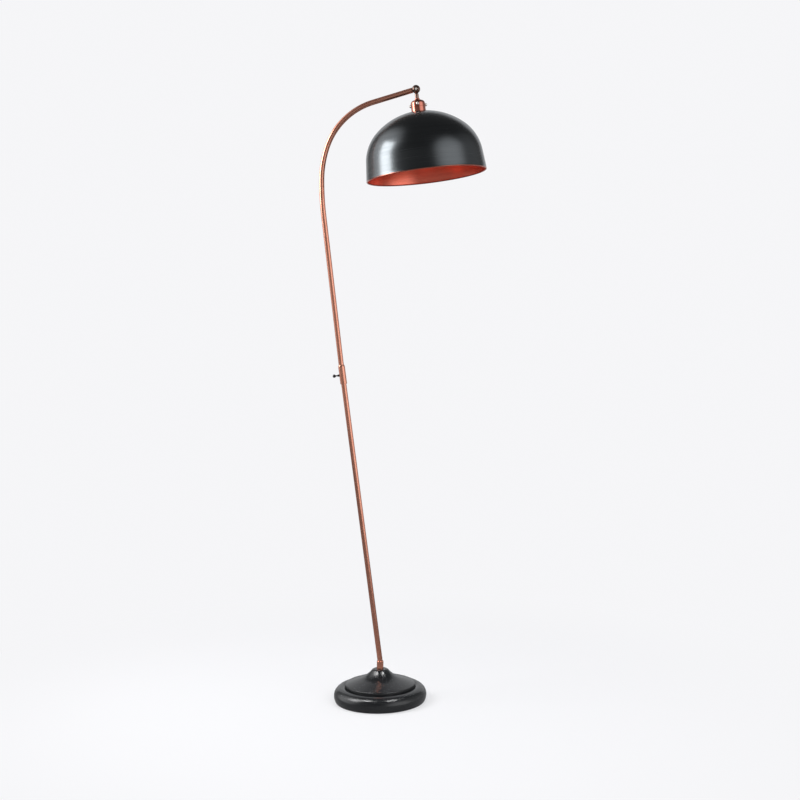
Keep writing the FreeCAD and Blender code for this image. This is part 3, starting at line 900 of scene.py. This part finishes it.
# ------------------------------------------------------------------ sub-assemblies
@dataclass
class SubAssembly:
    """Base of the lamp's sub-assemblies."""

    bench: Workbench
    paint: Paintbox
    lines: Lines

    def add(self, piece: bpy.types.Object, body: str, slot: str, finishes: Iterable[str],
            *nodes: str) -> bpy.types.Object:
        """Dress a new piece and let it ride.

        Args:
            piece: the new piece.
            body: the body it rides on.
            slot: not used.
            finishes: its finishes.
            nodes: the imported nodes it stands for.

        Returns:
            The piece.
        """
        self.paint.dress(piece, *finishes)
        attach(piece, body)
        if nodes:
            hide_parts(*nodes)
        LOG.info("%s rides on %s: %d faces", piece.name, body, len(piece.data.polygons))
        return piece

    def dress_nodes(self, **finishes: str) -> None:
        """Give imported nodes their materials.

        Args:
            finishes: a finish for each node's name.
        """
        for node, finish in finishes.items():
            self.paint.dress(bpy.data.objects[node], finish)
            LOG.info("%s keeps its solid", node)


@dataclass
class Foot(SubAssembly):
    """Enamelled cover on its weight, with the ferrule in its neck."""

    foot_r: float = 125.0
    lip_tuck: float = 4.0
    lift: float = 1.0
    ring_height: float = 16.5
    ring_round: float = 23.0
    groove_round: float = 12.0
    step_r: float = 93.5
    step_corner: float = 2.0
    dome_slope: float = 19.0
    dome_round: float = 1500.0
    neck_top: float = 86.5
    neck_flat: float = 15.0
    neck_shoulder: float = 10.0
    neck_slope: float = 51.0
    neck_flare: float = 72.0
    wall: float = 1.5
    hole_r: float = 6.2
    ferrule_r: float = 9.0
    ferrule_h: float = 21.8
    ferrule_edge: float = 0.3
    ferrule_round: float = 1.6
    ferrule_bore: float = 7.2
    ferrule_mouth: float = 7.45
    stud_r: float = 5.2

    def build(self) -> None:
        """Make and dress the foot."""
        self.cover()
        self.ferrule()
        self.dress_nodes(base_weight="iron", base_plate="zinc", plate_screws="zinc",
                         felt_pad="felt", cord_bush="plastic", foot_washer="zinc",
                         foot_nut="zinc", foot_stud="zinc")

    def skin(self, inset: float) -> Profile:
        """Cover's outline at a distance inside its outer face.

        Args:
            inset: the distance.

        Returns:
            The outline from the lower edge to the neck's hole.
        """
        rise = self.ring_height - self.lift
        lip = (rise ** 2 + self.lip_tuck ** 2) / (2 * self.lip_tuck)
        lip_turn = math.degrees(math.asin(rise / lip))
        ring_r = self.foot_r - self.ring_round
        line = Profile()
        line.arc((self.foot_r - lip, self.ring_height), lip - inset, -lip_turn, 0, steps=10)
        line.arc((ring_r, self.ring_height), self.ring_round - inset, 0, 90, steps=20)
        groove_turn = math.degrees(math.acos((self.step_r - ring_r) / self.groove_round))
        groove_z = self.ring_height + self.ring_round - self.groove_round
        line.arc((ring_r, groove_z), self.groove_round - inset, 90, groove_turn, steps=8)
        corner = unit(groove_turn) * self.groove_round
        line.arc((ring_r + corner.x, groove_z + corner.z), inset, groove_turn + 180, 180, steps=4)
        shoulder = Vector((self.neck_flat, 0, self.neck_top - self.neck_shoulder))
        flare = shoulder + unit(90 - self.neck_slope) * (self.neck_shoulder + self.neck_flare)
        dome = flare - unit(90 - self.dome_slope) * (self.neck_flare + self.dome_round)
        rim_r = self.step_r - self.step_corner
        reach = self.dome_round - self.step_corner
        rim_z = dome.z + math.sqrt(reach ** 2 - (rim_r - dome.x) ** 2)
        rim_turn = math.degrees(math.atan2(rim_z - dome.z, rim_r - dome.x))
        line.arc((rim_r, rim_z), self.step_corner - inset, 0, rim_turn, steps=6)
        line.arc((dome.x, dome.z), self.dome_round - inset,
                 rim_turn, 90 - self.dome_slope, steps=12)
        line.arc((flare.x, flare.z), self.neck_flare + inset,
                 270 - self.dome_slope, 270 - self.neck_slope, steps=16)
        line.arc((shoulder.x, shoulder.z), self.neck_shoulder - inset,
                 90 - self.neck_slope, 90, steps=12)
        return line.to((self.hole_r, self.neck_top - inset))

    def cover(self) -> None:
        """Spun cover, both skins in one outline."""
        line = self.skin(0.0)
        line.to(*reversed(self.skin(self.wall).points))
        piece = self.bench.turn("foot_cover", line, Matrix.Identity(4), steps=160, sharp=35.0)
        self.add(piece, "stand", "cover_black", ["foot"], "base_cover")

    def ferrule(self) -> None:
        """Turned ferrule with a rounded top edge."""
        low, top, seat = self.neck_top, self.neck_top + self.ferrule_h, self.lines.ferrule_seat
        edge, round_r = self.ferrule_edge, self.ferrule_round
        line = Profile([(self.stud_r, low)])
        line.to((self.ferrule_r - edge, low), (self.ferrule_r, low + edge))
        line.arc((self.ferrule_r - round_r, top - round_r), round_r, 0, 90, steps=8)
        line.to((self.ferrule_mouth, top), (self.ferrule_bore, top - round_r),
                (self.ferrule_bore, seat), (self.stud_r, seat))
        piece = self.bench.turn("foot_ferrule", line, Matrix.Identity(4), steps=64)
        self.add(piece, "stand", "copper", ["copper"], "ferrule")


@dataclass
class Pole(SubAssembly):
    """The two tubes and the sleeve that joins them."""

    sleeve_r: float = 9.0
    sleeve_edge: float = 0.5
    sleeve_bore: float = 7.05
    sleeve_end: float = 7.6
    taper: float = 6.0

    def build(self) -> None:
        """Make and dress the pole."""
        lines = self.lines
        lower = self.bench.tube("pole_lower", lines.lower_path(), lines.tube_r, lines.tube_wall)
        self.add(lower, "stand", "copper", ["copper"], "lower_tube")
        upper = self.bench.tube("pole_upper", lines.upper_path(), lines.tube_r, lines.tube_wall)
        self.add(upper, "arm", "copper", ["copper"], "upper_tube")
        self.sleeve()

    def sleeve(self) -> None:
        """Sleeve with a square lower end and a rounded upper shoulder."""
        depth = self.sleeve_r - self.sleeve_end
        round_r = (self.taper ** 2 + depth ** 2) / (2 * depth)
        turn = math.degrees(math.asin(self.taper / round_r))
        line = Profile([(self.sleeve_bore, 0.0)])
        line.to((self.sleeve_r - self.sleeve_edge, 0.0), (self.sleeve_r, self.sleeve_edge))
        top = self.lines.sleeve_l
        line.arc((self.sleeve_r - round_r, top - self.taper), round_r, 0, turn, steps=10)
        line.to((self.sleeve_bore, top))
        piece = self.bench.turn("pole_sleeve", line, self.lines.sleeve_frame(), steps=64)
        self.add(piece, "arm", "copper", ["copper"], "sleeve")


@dataclass
class ThumbScrew(SubAssembly):
    """Screw in the sleeve: plain tip, tapered collar, thin neck and ball head.

    Its sizes run outwards from the pole's axis.
    """

    height: float = 24.0
    tip: float = 7.3
    tip_edge: float = 0.5
    shank_r: float = 2.5
    collar: float = 9.5
    collar_r: float = 3.2
    collar_edge: float = 0.3
    taper: float = 11.0
    neck: float = 16.0
    neck_r: float = 1.6
    ball: float = 22.5
    ball_r: float = 4.5

    def build(self) -> None:
        """Make and dress the thumb screw."""
        sunk = math.sqrt(self.ball_r ** 2 - self.neck_r ** 2)
        start = math.degrees(math.atan2(-sunk, self.neck_r))
        rim = self.collar_r - self.collar_edge
        line = Profile([(0.0, self.tip)])
        line.to((self.shank_r - self.tip_edge, self.tip), (self.shank_r, self.tip + self.tip_edge))
        line.to((self.shank_r, self.collar), (rim, self.collar))
        line.arc((rim, self.collar + self.collar_edge), self.collar_edge, -90, 0, steps=3)
        line.to((self.collar_r, self.taper), (self.neck_r, self.neck))
        line.arc((0.0, self.ball), self.ball_r, start, 90, steps=20)
        frame = self.lines.sleeve_frame() @ Matrix.Translation((0, 0, self.height * MM))
        frame = frame @ Matrix.Rotation(math.radians(-90), 4, "Y")
        piece = self.bench.turn("thumb_screw_turned", line, frame, steps=48, closed=False)
        self.add(piece, "thumb", "screw_black", ["thumb"], "thumb_screw")


@dataclass
class Knuckle(SubAssembly):
    """Slotted ball, tongue, pivot screw, nut and washers."""

    ball_edge: float = 0.2
    screw_edge: float = 0.12
    stem_edge: float = 0.15

    def build(self) -> None:
        """Make and dress the knuckle."""
        for node, name, edge, body, slot, finish in (
                ("arm_knuckle", "knuckle_ball", self.ball_edge, "arm", "bronze_dark", "bronze"),
                ("pivot_screw", "knuckle_screw", self.screw_edge, "arm", "chrome", "chrome"),
                ("pivot_nut", "knuckle_nut", self.screw_edge, "arm", "bronze_dark", "bronze"),
                ("head_knuckle", "knuckle_stem", self.stem_edge, "head", "bronze_dark", "bronze")):
            self.add(self.bench.refined(node, name, edge), body, slot, [finish], node)
        self.dress_nodes(friction_washers="fibre")


@dataclass
class Lampholder(SubAssembly):
    """Bell cap and threaded cup. Depths run down the head's axis from the pivot."""

    holder_r: float = 19.0
    wall: float = 1.2
    fit: float = 0.05
    edge: float = 0.3
    cap_start: float = 24.4
    cap_end: float = 47.0
    neck_r: float = 6.3
    neck_l: float = 0.8
    bell: float = 9.0
    bell_depth: float = 38.5
    hub_bore: float = 5.05
    hub_r: float = 6.6
    hub_l: float = 8.0
    lip: float = 6.5
    seat_edge: float = 0.4
    bore_r: float = 15.8
    bore_gap: float = 1.0
    mouth_r: float = 14.25
    mouth_l: float = 1.2
    thread_r: float = 17.0
    thread_l: float = 20.0
    thread_gap: float = 1.0
    pitch: float = 2.0
    ridge: float = 0.45

    def build(self) -> None:
        """Make and dress the cap and the cup."""
        self.cap()
        self.cup()

    def cap(self) -> None:
        """Bell cap with its threaded hub."""
        start, end = -self.cap_start, -self.cap_end
        flare = self.holder_r - self.bell - self.neck_r
        bell = (self.holder_r - self.bell, -self.bell_depth)
        line = Profile([(self.hub_bore, start)]).to((self.neck_r, start))
        line.arc((self.neck_r + flare, start - self.neck_l), flare, 180, 270, steps=8)
        line.arc(bell, self.bell, 90, 0, steps=14)
        line.to((self.holder_r, end + self.edge), (self.holder_r - self.edge, end),
                (self.holder_r - self.wall, end))
        line.arc(bell, self.bell - self.wall, 0, 70, steps=10)
        line.to((self.hub_r, start - self.hub_l), (self.hub_bore, start - self.hub_l))
        piece = self.bench.turn("holder_cap", line, self.lines.head_frame(), steps=72)
        self.add(piece, "head", "copper", ["copper_turned"], "lampholder_cap")

    def cup(self) -> None:
        """Cup with its spigot, shade seat and threaded skirt."""
        outer = self.holder_r - self.wall - self.fit
        inner = outer - self.wall
        top, seat = -self.cap_end, -self.lines.shade_seat
        low = seat - self.thread_l
        line = Profile([(inner, top + self.lip)]).to((outer, top + self.lip), (outer, top))
        line.to((self.holder_r - self.edge, top), (self.holder_r, top - self.edge))
        line.to((self.holder_r, seat + self.seat_edge), (self.holder_r - self.seat_edge, seat),
                (self.thread_r, seat))
        z = seat - self.thread_gap
        while z - self.pitch > low + self.thread_gap:
            line.to((self.thread_r, z), (self.thread_r - self.ridge, z - self.pitch / 2))
            z -= self.pitch
        line.to((self.thread_r, z), (self.thread_r, low + self.seat_edge),
                (self.thread_r - self.seat_edge, low), (self.mouth_r, low))
        line.to((self.mouth_r, low + self.mouth_l), (self.bore_r, low + self.mouth_l),
                (self.bore_r, top - self.bore_gap), (inner, top))
        piece = self.bench.turn("holder_cup", line, self.lines.head_frame(), steps=72, sharp=28.0)
        self.add(piece, "head", "copper", ["copper_turned"], "lampholder_cup")


@dataclass
class Gallery(SubAssembly):
    """Ball-headed screws round the cap. Their sizes run outwards from the head's axis."""

    count: int = 3
    depth: float = 41.2
    tip: float = 16.0
    tip_r: float = 1.2
    tip_l: float = 0.3
    shank_r: float = 1.4
    ball: float = 23.0
    ball_r: float = 4.1

    def build(self) -> None:
        """Model one screw, copy it round the cap and dress them all."""
        meet = math.degrees(math.asin(self.shank_r / self.ball_r))
        line = Profile([(0.0, self.tip)])
        line.to((self.tip_r, self.tip), (self.shank_r, self.tip + self.tip_l))
        line.arc((0.0, self.ball), self.ball_r, meet - 90, 90, steps=18)
        head = self.lines.head_frame() @ Matrix.Translation((0, 0, -self.depth * MM))
        frame = head @ Matrix.Rotation(math.radians(-90), 4, "Z")
        frame = frame @ Matrix.Rotation(math.radians(90), 4, "Y")
        first = self.bench.turn("holder_screw_1", line, frame, steps=40, closed=False)
        screws = [first]
        for number in range(1, self.count):
            turn = Matrix.Rotation(TAU * number / self.count, 4, "Z")
            screws.append(self.bench.copy(first, f"holder_screw_{number + 1}"))
            screws[-1].data.transform(head @ turn @ head.inverted())
        self.add(first, "head", "chrome", ["chrome"], "gallery_screws")
        for screw in screws[1:]:
            self.add(screw, "head", "chrome", ["chrome"])


@dataclass
class RingNut(SubAssembly):
    """Ring nut under the shade: a flange and a plain skirt."""

    gap: float = 1.2
    bore: float = 17.1
    flange_r: float = 20.6
    flange_l: float = 3.0
    skirt_r: float = 19.3
    length: float = 8.0
    edge: float = 0.3
    skirt_edge: float = 0.4

    def build(self) -> None:
        """Make and dress the ring nut."""
        top = -self.lines.shade_seat - self.gap
        under, low = top - self.flange_l, top - self.length
        line = Profile([(self.bore, top)])
        line.to((self.flange_r - self.edge, top), (self.flange_r, top - self.edge),
                (self.flange_r, under + self.edge), (self.flange_r - self.edge, under))
        line.to((self.skirt_r, under), (self.skirt_r, low + self.skirt_edge),
                (self.skirt_r - self.skirt_edge, low), (self.bore, low))
        piece = self.bench.turn("holder_ring", line, self.lines.head_frame(), steps=96)
        self.add(piece, "head", "copper", ["copper_turned"], "shade_ring")


@dataclass
class LampSocket(SubAssembly):
    """Screw shell in its insulator, with the contact and the terminals."""

    depth: float = 78.0
    length: float = 20.0
    crest: float = 13.9
    pitch: float = 3.6
    swing: float = 0.22
    wall: float = 0.45
    steps: int = 44

    def build(self) -> None:
        """Roll the shell into a round thread and dress the solids round it."""
        outer, inner = Profile(), Profile()
        for k in range(self.steps + 1):
            along = self.length * k / self.steps
            wave = self.swing * (1 - math.cos(TAU * along / self.pitch))
            outer.to((self.crest - wave, along - self.depth))
            inner.to((self.crest - self.wall - wave, along - self.depth))
        outer.to(*reversed(inner.points))
        frame = self.lines.head_frame()
        piece = self.bench.turn("holder_screw_shell", outer, frame, steps=64, sharp=60.0)
        self.add(piece, "head", "brass", ["brass"], "thread_shell")
        self.dress_nodes(insulator="ceramic", centre_contact="brass", terminals="brass")


@dataclass
class Shade(SubAssembly):
    """Spun bowl: enamel outside, copper inside, with a turned-in hem."""

    rim_r: float = 160.0
    wall: float = 1.2
    seat_r: float = 21.0
    drop: float = 168.0
    shoulder: float = 113.0
    taper: float = 5.9
    skirt: float = 52.0
    hem: float = 3.0
    bead: float = 2.0
    hole_r: float = 17.3
    roll_r: float = 1.5
    roll_start: float = 35.0
    roll_end: float = -215.0
    rim_h: float = 1.8
    middle: float = 235.0
    skin_least: float = 20.0
    halvings: int = 60

    def build(self) -> None:
        """Make and dress the shade."""
        outside, rim = self.side(0.0)
        inside, rim_in = self.side(self.wall)
        up, across = unit(90 + self.taper), unit(self.taper) * self.wall
        hem_top = rim_in + up * self.hem
        hem_in, rim_hem = hem_top - across, rim_in - across
        last = rim + up * self.bead
        outside.to(*self.steps(outside.points[-1], (last.x, last.z), 8))
        inside.to(*self.steps(inside.points[-1], (hem_top.x, hem_top.z), 8))
        inside.to((hem_in.x, hem_in.z))
        roll = (rim + rim_hem) / 2 + up * (self.bead / 2)
        outside.arc((roll.x, roll.z), self.roll_r,
                    self.taper + self.roll_start, self.taper + self.roll_end, steps=14)
        outside.to(*reversed(inside.points))
        frame = self.lines.head_frame()
        piece = self.bench.turn("shade_bowl", outside, frame, steps=192, sharp=35.0)
        self.add(piece, "head", "shade_enamel", ["shade_out", "shade_in", "copper_turned"], "shade")
        self.copper_inside(piece)

    @staticmethod
    def steps(start: Point, end: Point, count: int) -> list[Point]:
        """Points along a straight line after its start.

        Args:
            start: its start.
            end: its end.
            count: how many.

        Returns:
            The points.
        """
        across, along = end[0] - start[0], end[1] - start[1]
        return [(start[0] + across * k / count, start[1] + along * k / count)
                for k in range(1, count + 1)]

    def side(self, inset: float) -> tuple[Profile, Vector]:
        """Crown, shoulder and the end of the skirt at a distance inside the outer skin.

        Args:
            inset: the distance.

        Returns:
            The outline from the hole down to the skirt, and the rim's point.
        """
        top = -self.lines.shade_seat
        rim = Vector((self.rim_r, 0, top - self.drop))
        skirt_top = rim + unit(90 + self.taper) * self.skirt
        centre = skirt_top - unit(self.taper) * self.shoulder
        low, high, angle, crown, crown_z = self.taper, 89.0, 0.0, 0.0, 0.0
        for _ in range(self.halvings):
            angle = (low + high) / 2
            touch = centre + unit(angle) * self.shoulder
            crown = touch.x / math.cos(math.radians(angle))
            crown_z = touch.z - crown * math.sin(math.radians(angle))
            if crown_z + math.sqrt(crown ** 2 - self.seat_r ** 2) > top:
                low = angle
            else:
                high = angle
        seat_turn = math.degrees(math.acos(self.seat_r / crown))
        line = Profile([(self.hole_r, top - inset)])
        line.arc((0.0, crown_z), crown - inset, seat_turn, angle, steps=18)
        line.arc((centre.x, centre.z), self.shoulder - inset, angle, self.taper, steps=20)
        return line, rim - unit(self.taper) * inset

    def copper_inside(self, piece: bpy.types.Object) -> None:
        """Give the inner faces and the rolled rim their copper slots.

        The enamelled faces look away from the point on the axis at the depth of middle.

        Args:
            piece: the shade.
        """
        frame = self.lines.head_frame().inverted()
        middle = Vector((0, 0, -self.middle))
        rim_top = self.rim_h - self.lines.shade_seat - self.drop
        for face in piece.data.polygons:
            centre = frame @ face.center / MM
            outward = (frame.to_3x3() @ face.normal).dot(centre - middle)
            if centre.z < rim_top:
                face.material_index = 2
            else:
                face.material_index = 0 if outward > self.skin_least else 1


# ------------------------------------------------------------------ studio
@dataclass(frozen=True)
class Softbox:
    """Rectangular area lamp: where it stands, the point it faces, its size and power.

    It may be left out of reflections (mirrored) or of the light on plain surfaces (lighting).
    """

    name: str
    at: tuple
    aim: tuple
    size: tuple
    watts: float
    mirrored: bool = True
    lighting: bool = True
    spread: float = 180.0

    def build(self) -> None:
        """Make the lamp."""
        data = bpy.data.lights.new(self.name, "AREA")
        data.shape, data.energy, data.spread = "RECTANGLE", self.watts, math.radians(self.spread)
        data.size, data.size_y = self.size
        lamp = bpy.data.objects.new(self.name, data)
        lamp.location = self.at
        lamp.rotation_mode = "QUATERNION"
        lamp.rotation_quaternion = (Vector(self.aim) - Vector(self.at)).to_track_quat("-Z", "Y")
        lamp.visible_glossy, lamp.visible_diffuse = self.mirrored, self.lighting
        bpy.context.scene.collection.objects.link(lamp)


@dataclass(frozen=True)
class Glow:
    """Soft bright patch of the room that only reflections show.

    Its azimuth runs in degrees from the camera's side, -Y, towards +X.
    """

    azimuth: float
    rise: float
    inner: float
    outer: float
    level: float

    def tone(self, g: Graph, way: Socket) -> Socket:
        """Brightness that the patch adds.

        Args:
            g: the world's graph.
            way: the direction.

        Returns:
            The brightness.
        """
        flat = math.cos(math.radians(self.rise))
        turn = math.radians(self.azimuth)
        axis = (flat * math.sin(turn), -flat * math.cos(turn), math.sin(math.radians(self.rise)))
        near = g.get("ShaderNodeVectorMath", "Value", {"operation": "DOT_PRODUCT"},
                     {0: way, 1: axis})
        edge, middle = (math.cos(math.radians(angle)) for angle in (self.outer, self.inner))
        return g.ramp(near, edge, middle) * self.level


LOW_LAMP = {"aim": (0.0, -0.06, 0.05), "size": (0.24, 0.09), "watts": 0.1,
            "lighting": False, "spread": 32.0}


@dataclass
class Studio:
    """Pale floor and backdrop, soft lamps and the camera, in metres.

    The room in reflections is at the level of horizon, and from fade up at that of ceiling.
    """

    backdrop: tuple = rgb(0.918, 0.918, 0.935)
    camera_at: tuple = (0.235, -3.2, 1.014)
    pitch: float = 3.557
    lens: float = 54.0
    sensor: float = 36.0
    shift: float = -0.0836
    lamps: tuple = (
        Softbox("key_left", (-1.75, -0.35, 1.97), (0.1, 0.0, 1.35), (0.9, 1.25), 33.0),
        Softbox("fill_right", (2.1, -1.7, 1.9), (0.1, 0.0, 1.0), (1.7, 1.7), 28.0, mirrored=False),
        Softbox("top", (0.1, -0.2, 3.4), (0.1, 0.0, 0.0), (2.2, 2.2), 38.0, mirrored=False),
        Softbox("low_left", (-0.31, -0.26, 0.79), **LOW_LAMP),
        Softbox("low_right", (0.31, -0.26, 0.79), **LOW_LAMP))
    glows: tuple = (Glow(-94.0, 25.0, 8.0, 42.0, 1.7), Glow(52.0, 14.0, 8.0, 38.0, 1.45),
                    Glow(97.0, 8.0, 5.0, 45.0, 0.3))
    horizon: float = 0.36
    ceiling: float = 0.11
    fade: tuple = (0.02, 0.36)
    brightest: tuple = rgb(2.0, 2.0, 2.02)
    haze: tuple = rgb(0.95, 0.97, 1.0)
    haze_level: float = 0.42
    floor_size: float = 8.0
    shadow_reach: tuple = (0.3, 1.3)
    shadow_share: float = 0.45
    mirror_reach: tuple = (0.28, 0.7)
    mirror_share: float = 0.85
    floor_far: tuple = rgb(0.09, 0.09, 0.093)
    floor_near: tuple = rgb(0.30, 0.30, 0.305)
    card_at: tuple = (0.1, 2.7, 1.95)
    card_size: tuple = (3.8, 3.9, 0.0)
    card_plain: tuple = rgb(0.42, 0.43, 0.44)
    card_mirrored: tuple = rgb(0.76, 0.77, 0.79)

    def build(self) -> None:
        """Make the camera, the stage and the lamps."""
        scene = bpy.context.scene
        scene.view_settings.view_transform = "Standard"
        self.camera(scene)
        self.stage()
        self.wall()
        scene.world = self.world()
        for lamp in self.lamps:
            lamp.build()

    def camera(self, scene: bpy.types.Scene) -> None:
        """Camera at the photograph's viewing angle.

        Args:
            scene: the scene.
        """
        data = bpy.data.cameras.new("camera")
        data.lens, data.sensor_width, data.shift_x = self.lens, self.sensor, self.shift
        camera = bpy.data.objects.new("camera", data)
        camera.location = self.camera_at
        camera.rotation_euler = (math.radians(90.0 - self.pitch), 0.0, 0.0)
        scene.collection.objects.link(camera)
        scene.camera = camera

    @staticmethod
    def rays(g: Graph) -> tuple[Socket, Socket, Socket]:
        """Camera, glossy and transmission rays, 1 or 0 each."""
        path = g.node("ShaderNodeLightPath")
        return tuple(Socket(g, path.outputs[name]) for name in
                     ("Is Camera Ray", "Is Glossy Ray", "Is Transmission Ray"))

    def stage(self) -> None:
        """Floor that keeps the lamp's shadow and fades into the backdrop."""
        only(None)
        bpy.ops.mesh.primitive_plane_add(size=self.floor_size, location=(0.0, 0.0, 0.0))
        floor = bpy.context.object
        floor.name = "floor"
        g = Graph("floor_white")
        seen, mirrored, through = self.rays(g)
        x, y, _ = g.parts(g.place())
        radius = g.radius(x, y)
        shaded = (1.0 - g.ramp(radius, *self.shadow_reach)) * self.shadow_share
        close = 1.0 - g.ramp(radius, *self.mirror_reach)
        lit = g.node("ShaderNodeBsdfPrincipled", inputs={
            "Base Color": self.backdrop, "Roughness": 0.9, "Specular IOR Level": 0.1})
        dim = g.light(g.blend(close, self.floor_far, self.floor_near))
        first = g.mix(seen * (1.0 - shaded), lit, g.light(self.backdrop))
        g.end(g.mix((mirrored + through) * self.mirror_share, first, dim))
        floor.data.materials.append(g.owner)

    def wall(self) -> None:
        """Pale card behind the lamp, which its foot and edges reflect."""
        only(None)
        bpy.ops.mesh.primitive_plane_add(size=1.0, location=self.card_at)
        card = bpy.context.object
        card.name = "backdrop_card"
        card.dimensions = self.card_size
        card.rotation_euler = (math.radians(90.0), 0.0, 0.0)
        g = Graph("card_white")
        seen, mirrored, _ = self.rays(g)
        tone = g.blend(mirrored, self.card_plain, self.card_mirrored)
        g.end(g.light(g.blend(seen, tone, self.backdrop)))
        card.data.materials.append(g.owner)

    def world(self) -> bpy.types.World:
        """Pale backdrop, and a room with soft bright patches for reflections.

        Returns:
            The world.
        """
        g = Graph("surround", world=True)
        seen, mirrored, _ = self.rays(g)
        way = g.get("ShaderNodeTexCoord", "Generated")
        up = g.parts(way)[2]
        tone = self.horizon - g.ramp(up, *self.fade) * (self.horizon - self.ceiling)
        for glow in self.glows:
            tone = tone + glow.tone(g, way)
        room = g.blend(tone * (1.0 / self.brightest[0]), rgb(0.0, 0.0, 0.0), self.brightest)
        inside = g.mix(mirrored, g.light(self.haze, self.haze_level), g.light(room))
        g.end(g.mix(seen, inside, g.light(self.backdrop)))
        return g.owner


def main() -> None:
    """Build the lamp and its studio."""
    logging.basicConfig(level=logging.INFO, format="%(name)s: %(message)s")
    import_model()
    only(None)
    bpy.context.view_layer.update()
    Studio().build()
    bench, paint, lines = Workbench(), Paintbox(Finishes()), Lines()
    for kind in (Foot, Pole, ThumbScrew, Knuckle, Lampholder, Gallery, RingNut, LampSocket, Shade):
        kind(bench, paint, lines).build()
    only(None)


if __name__ == "__main__":
    main()
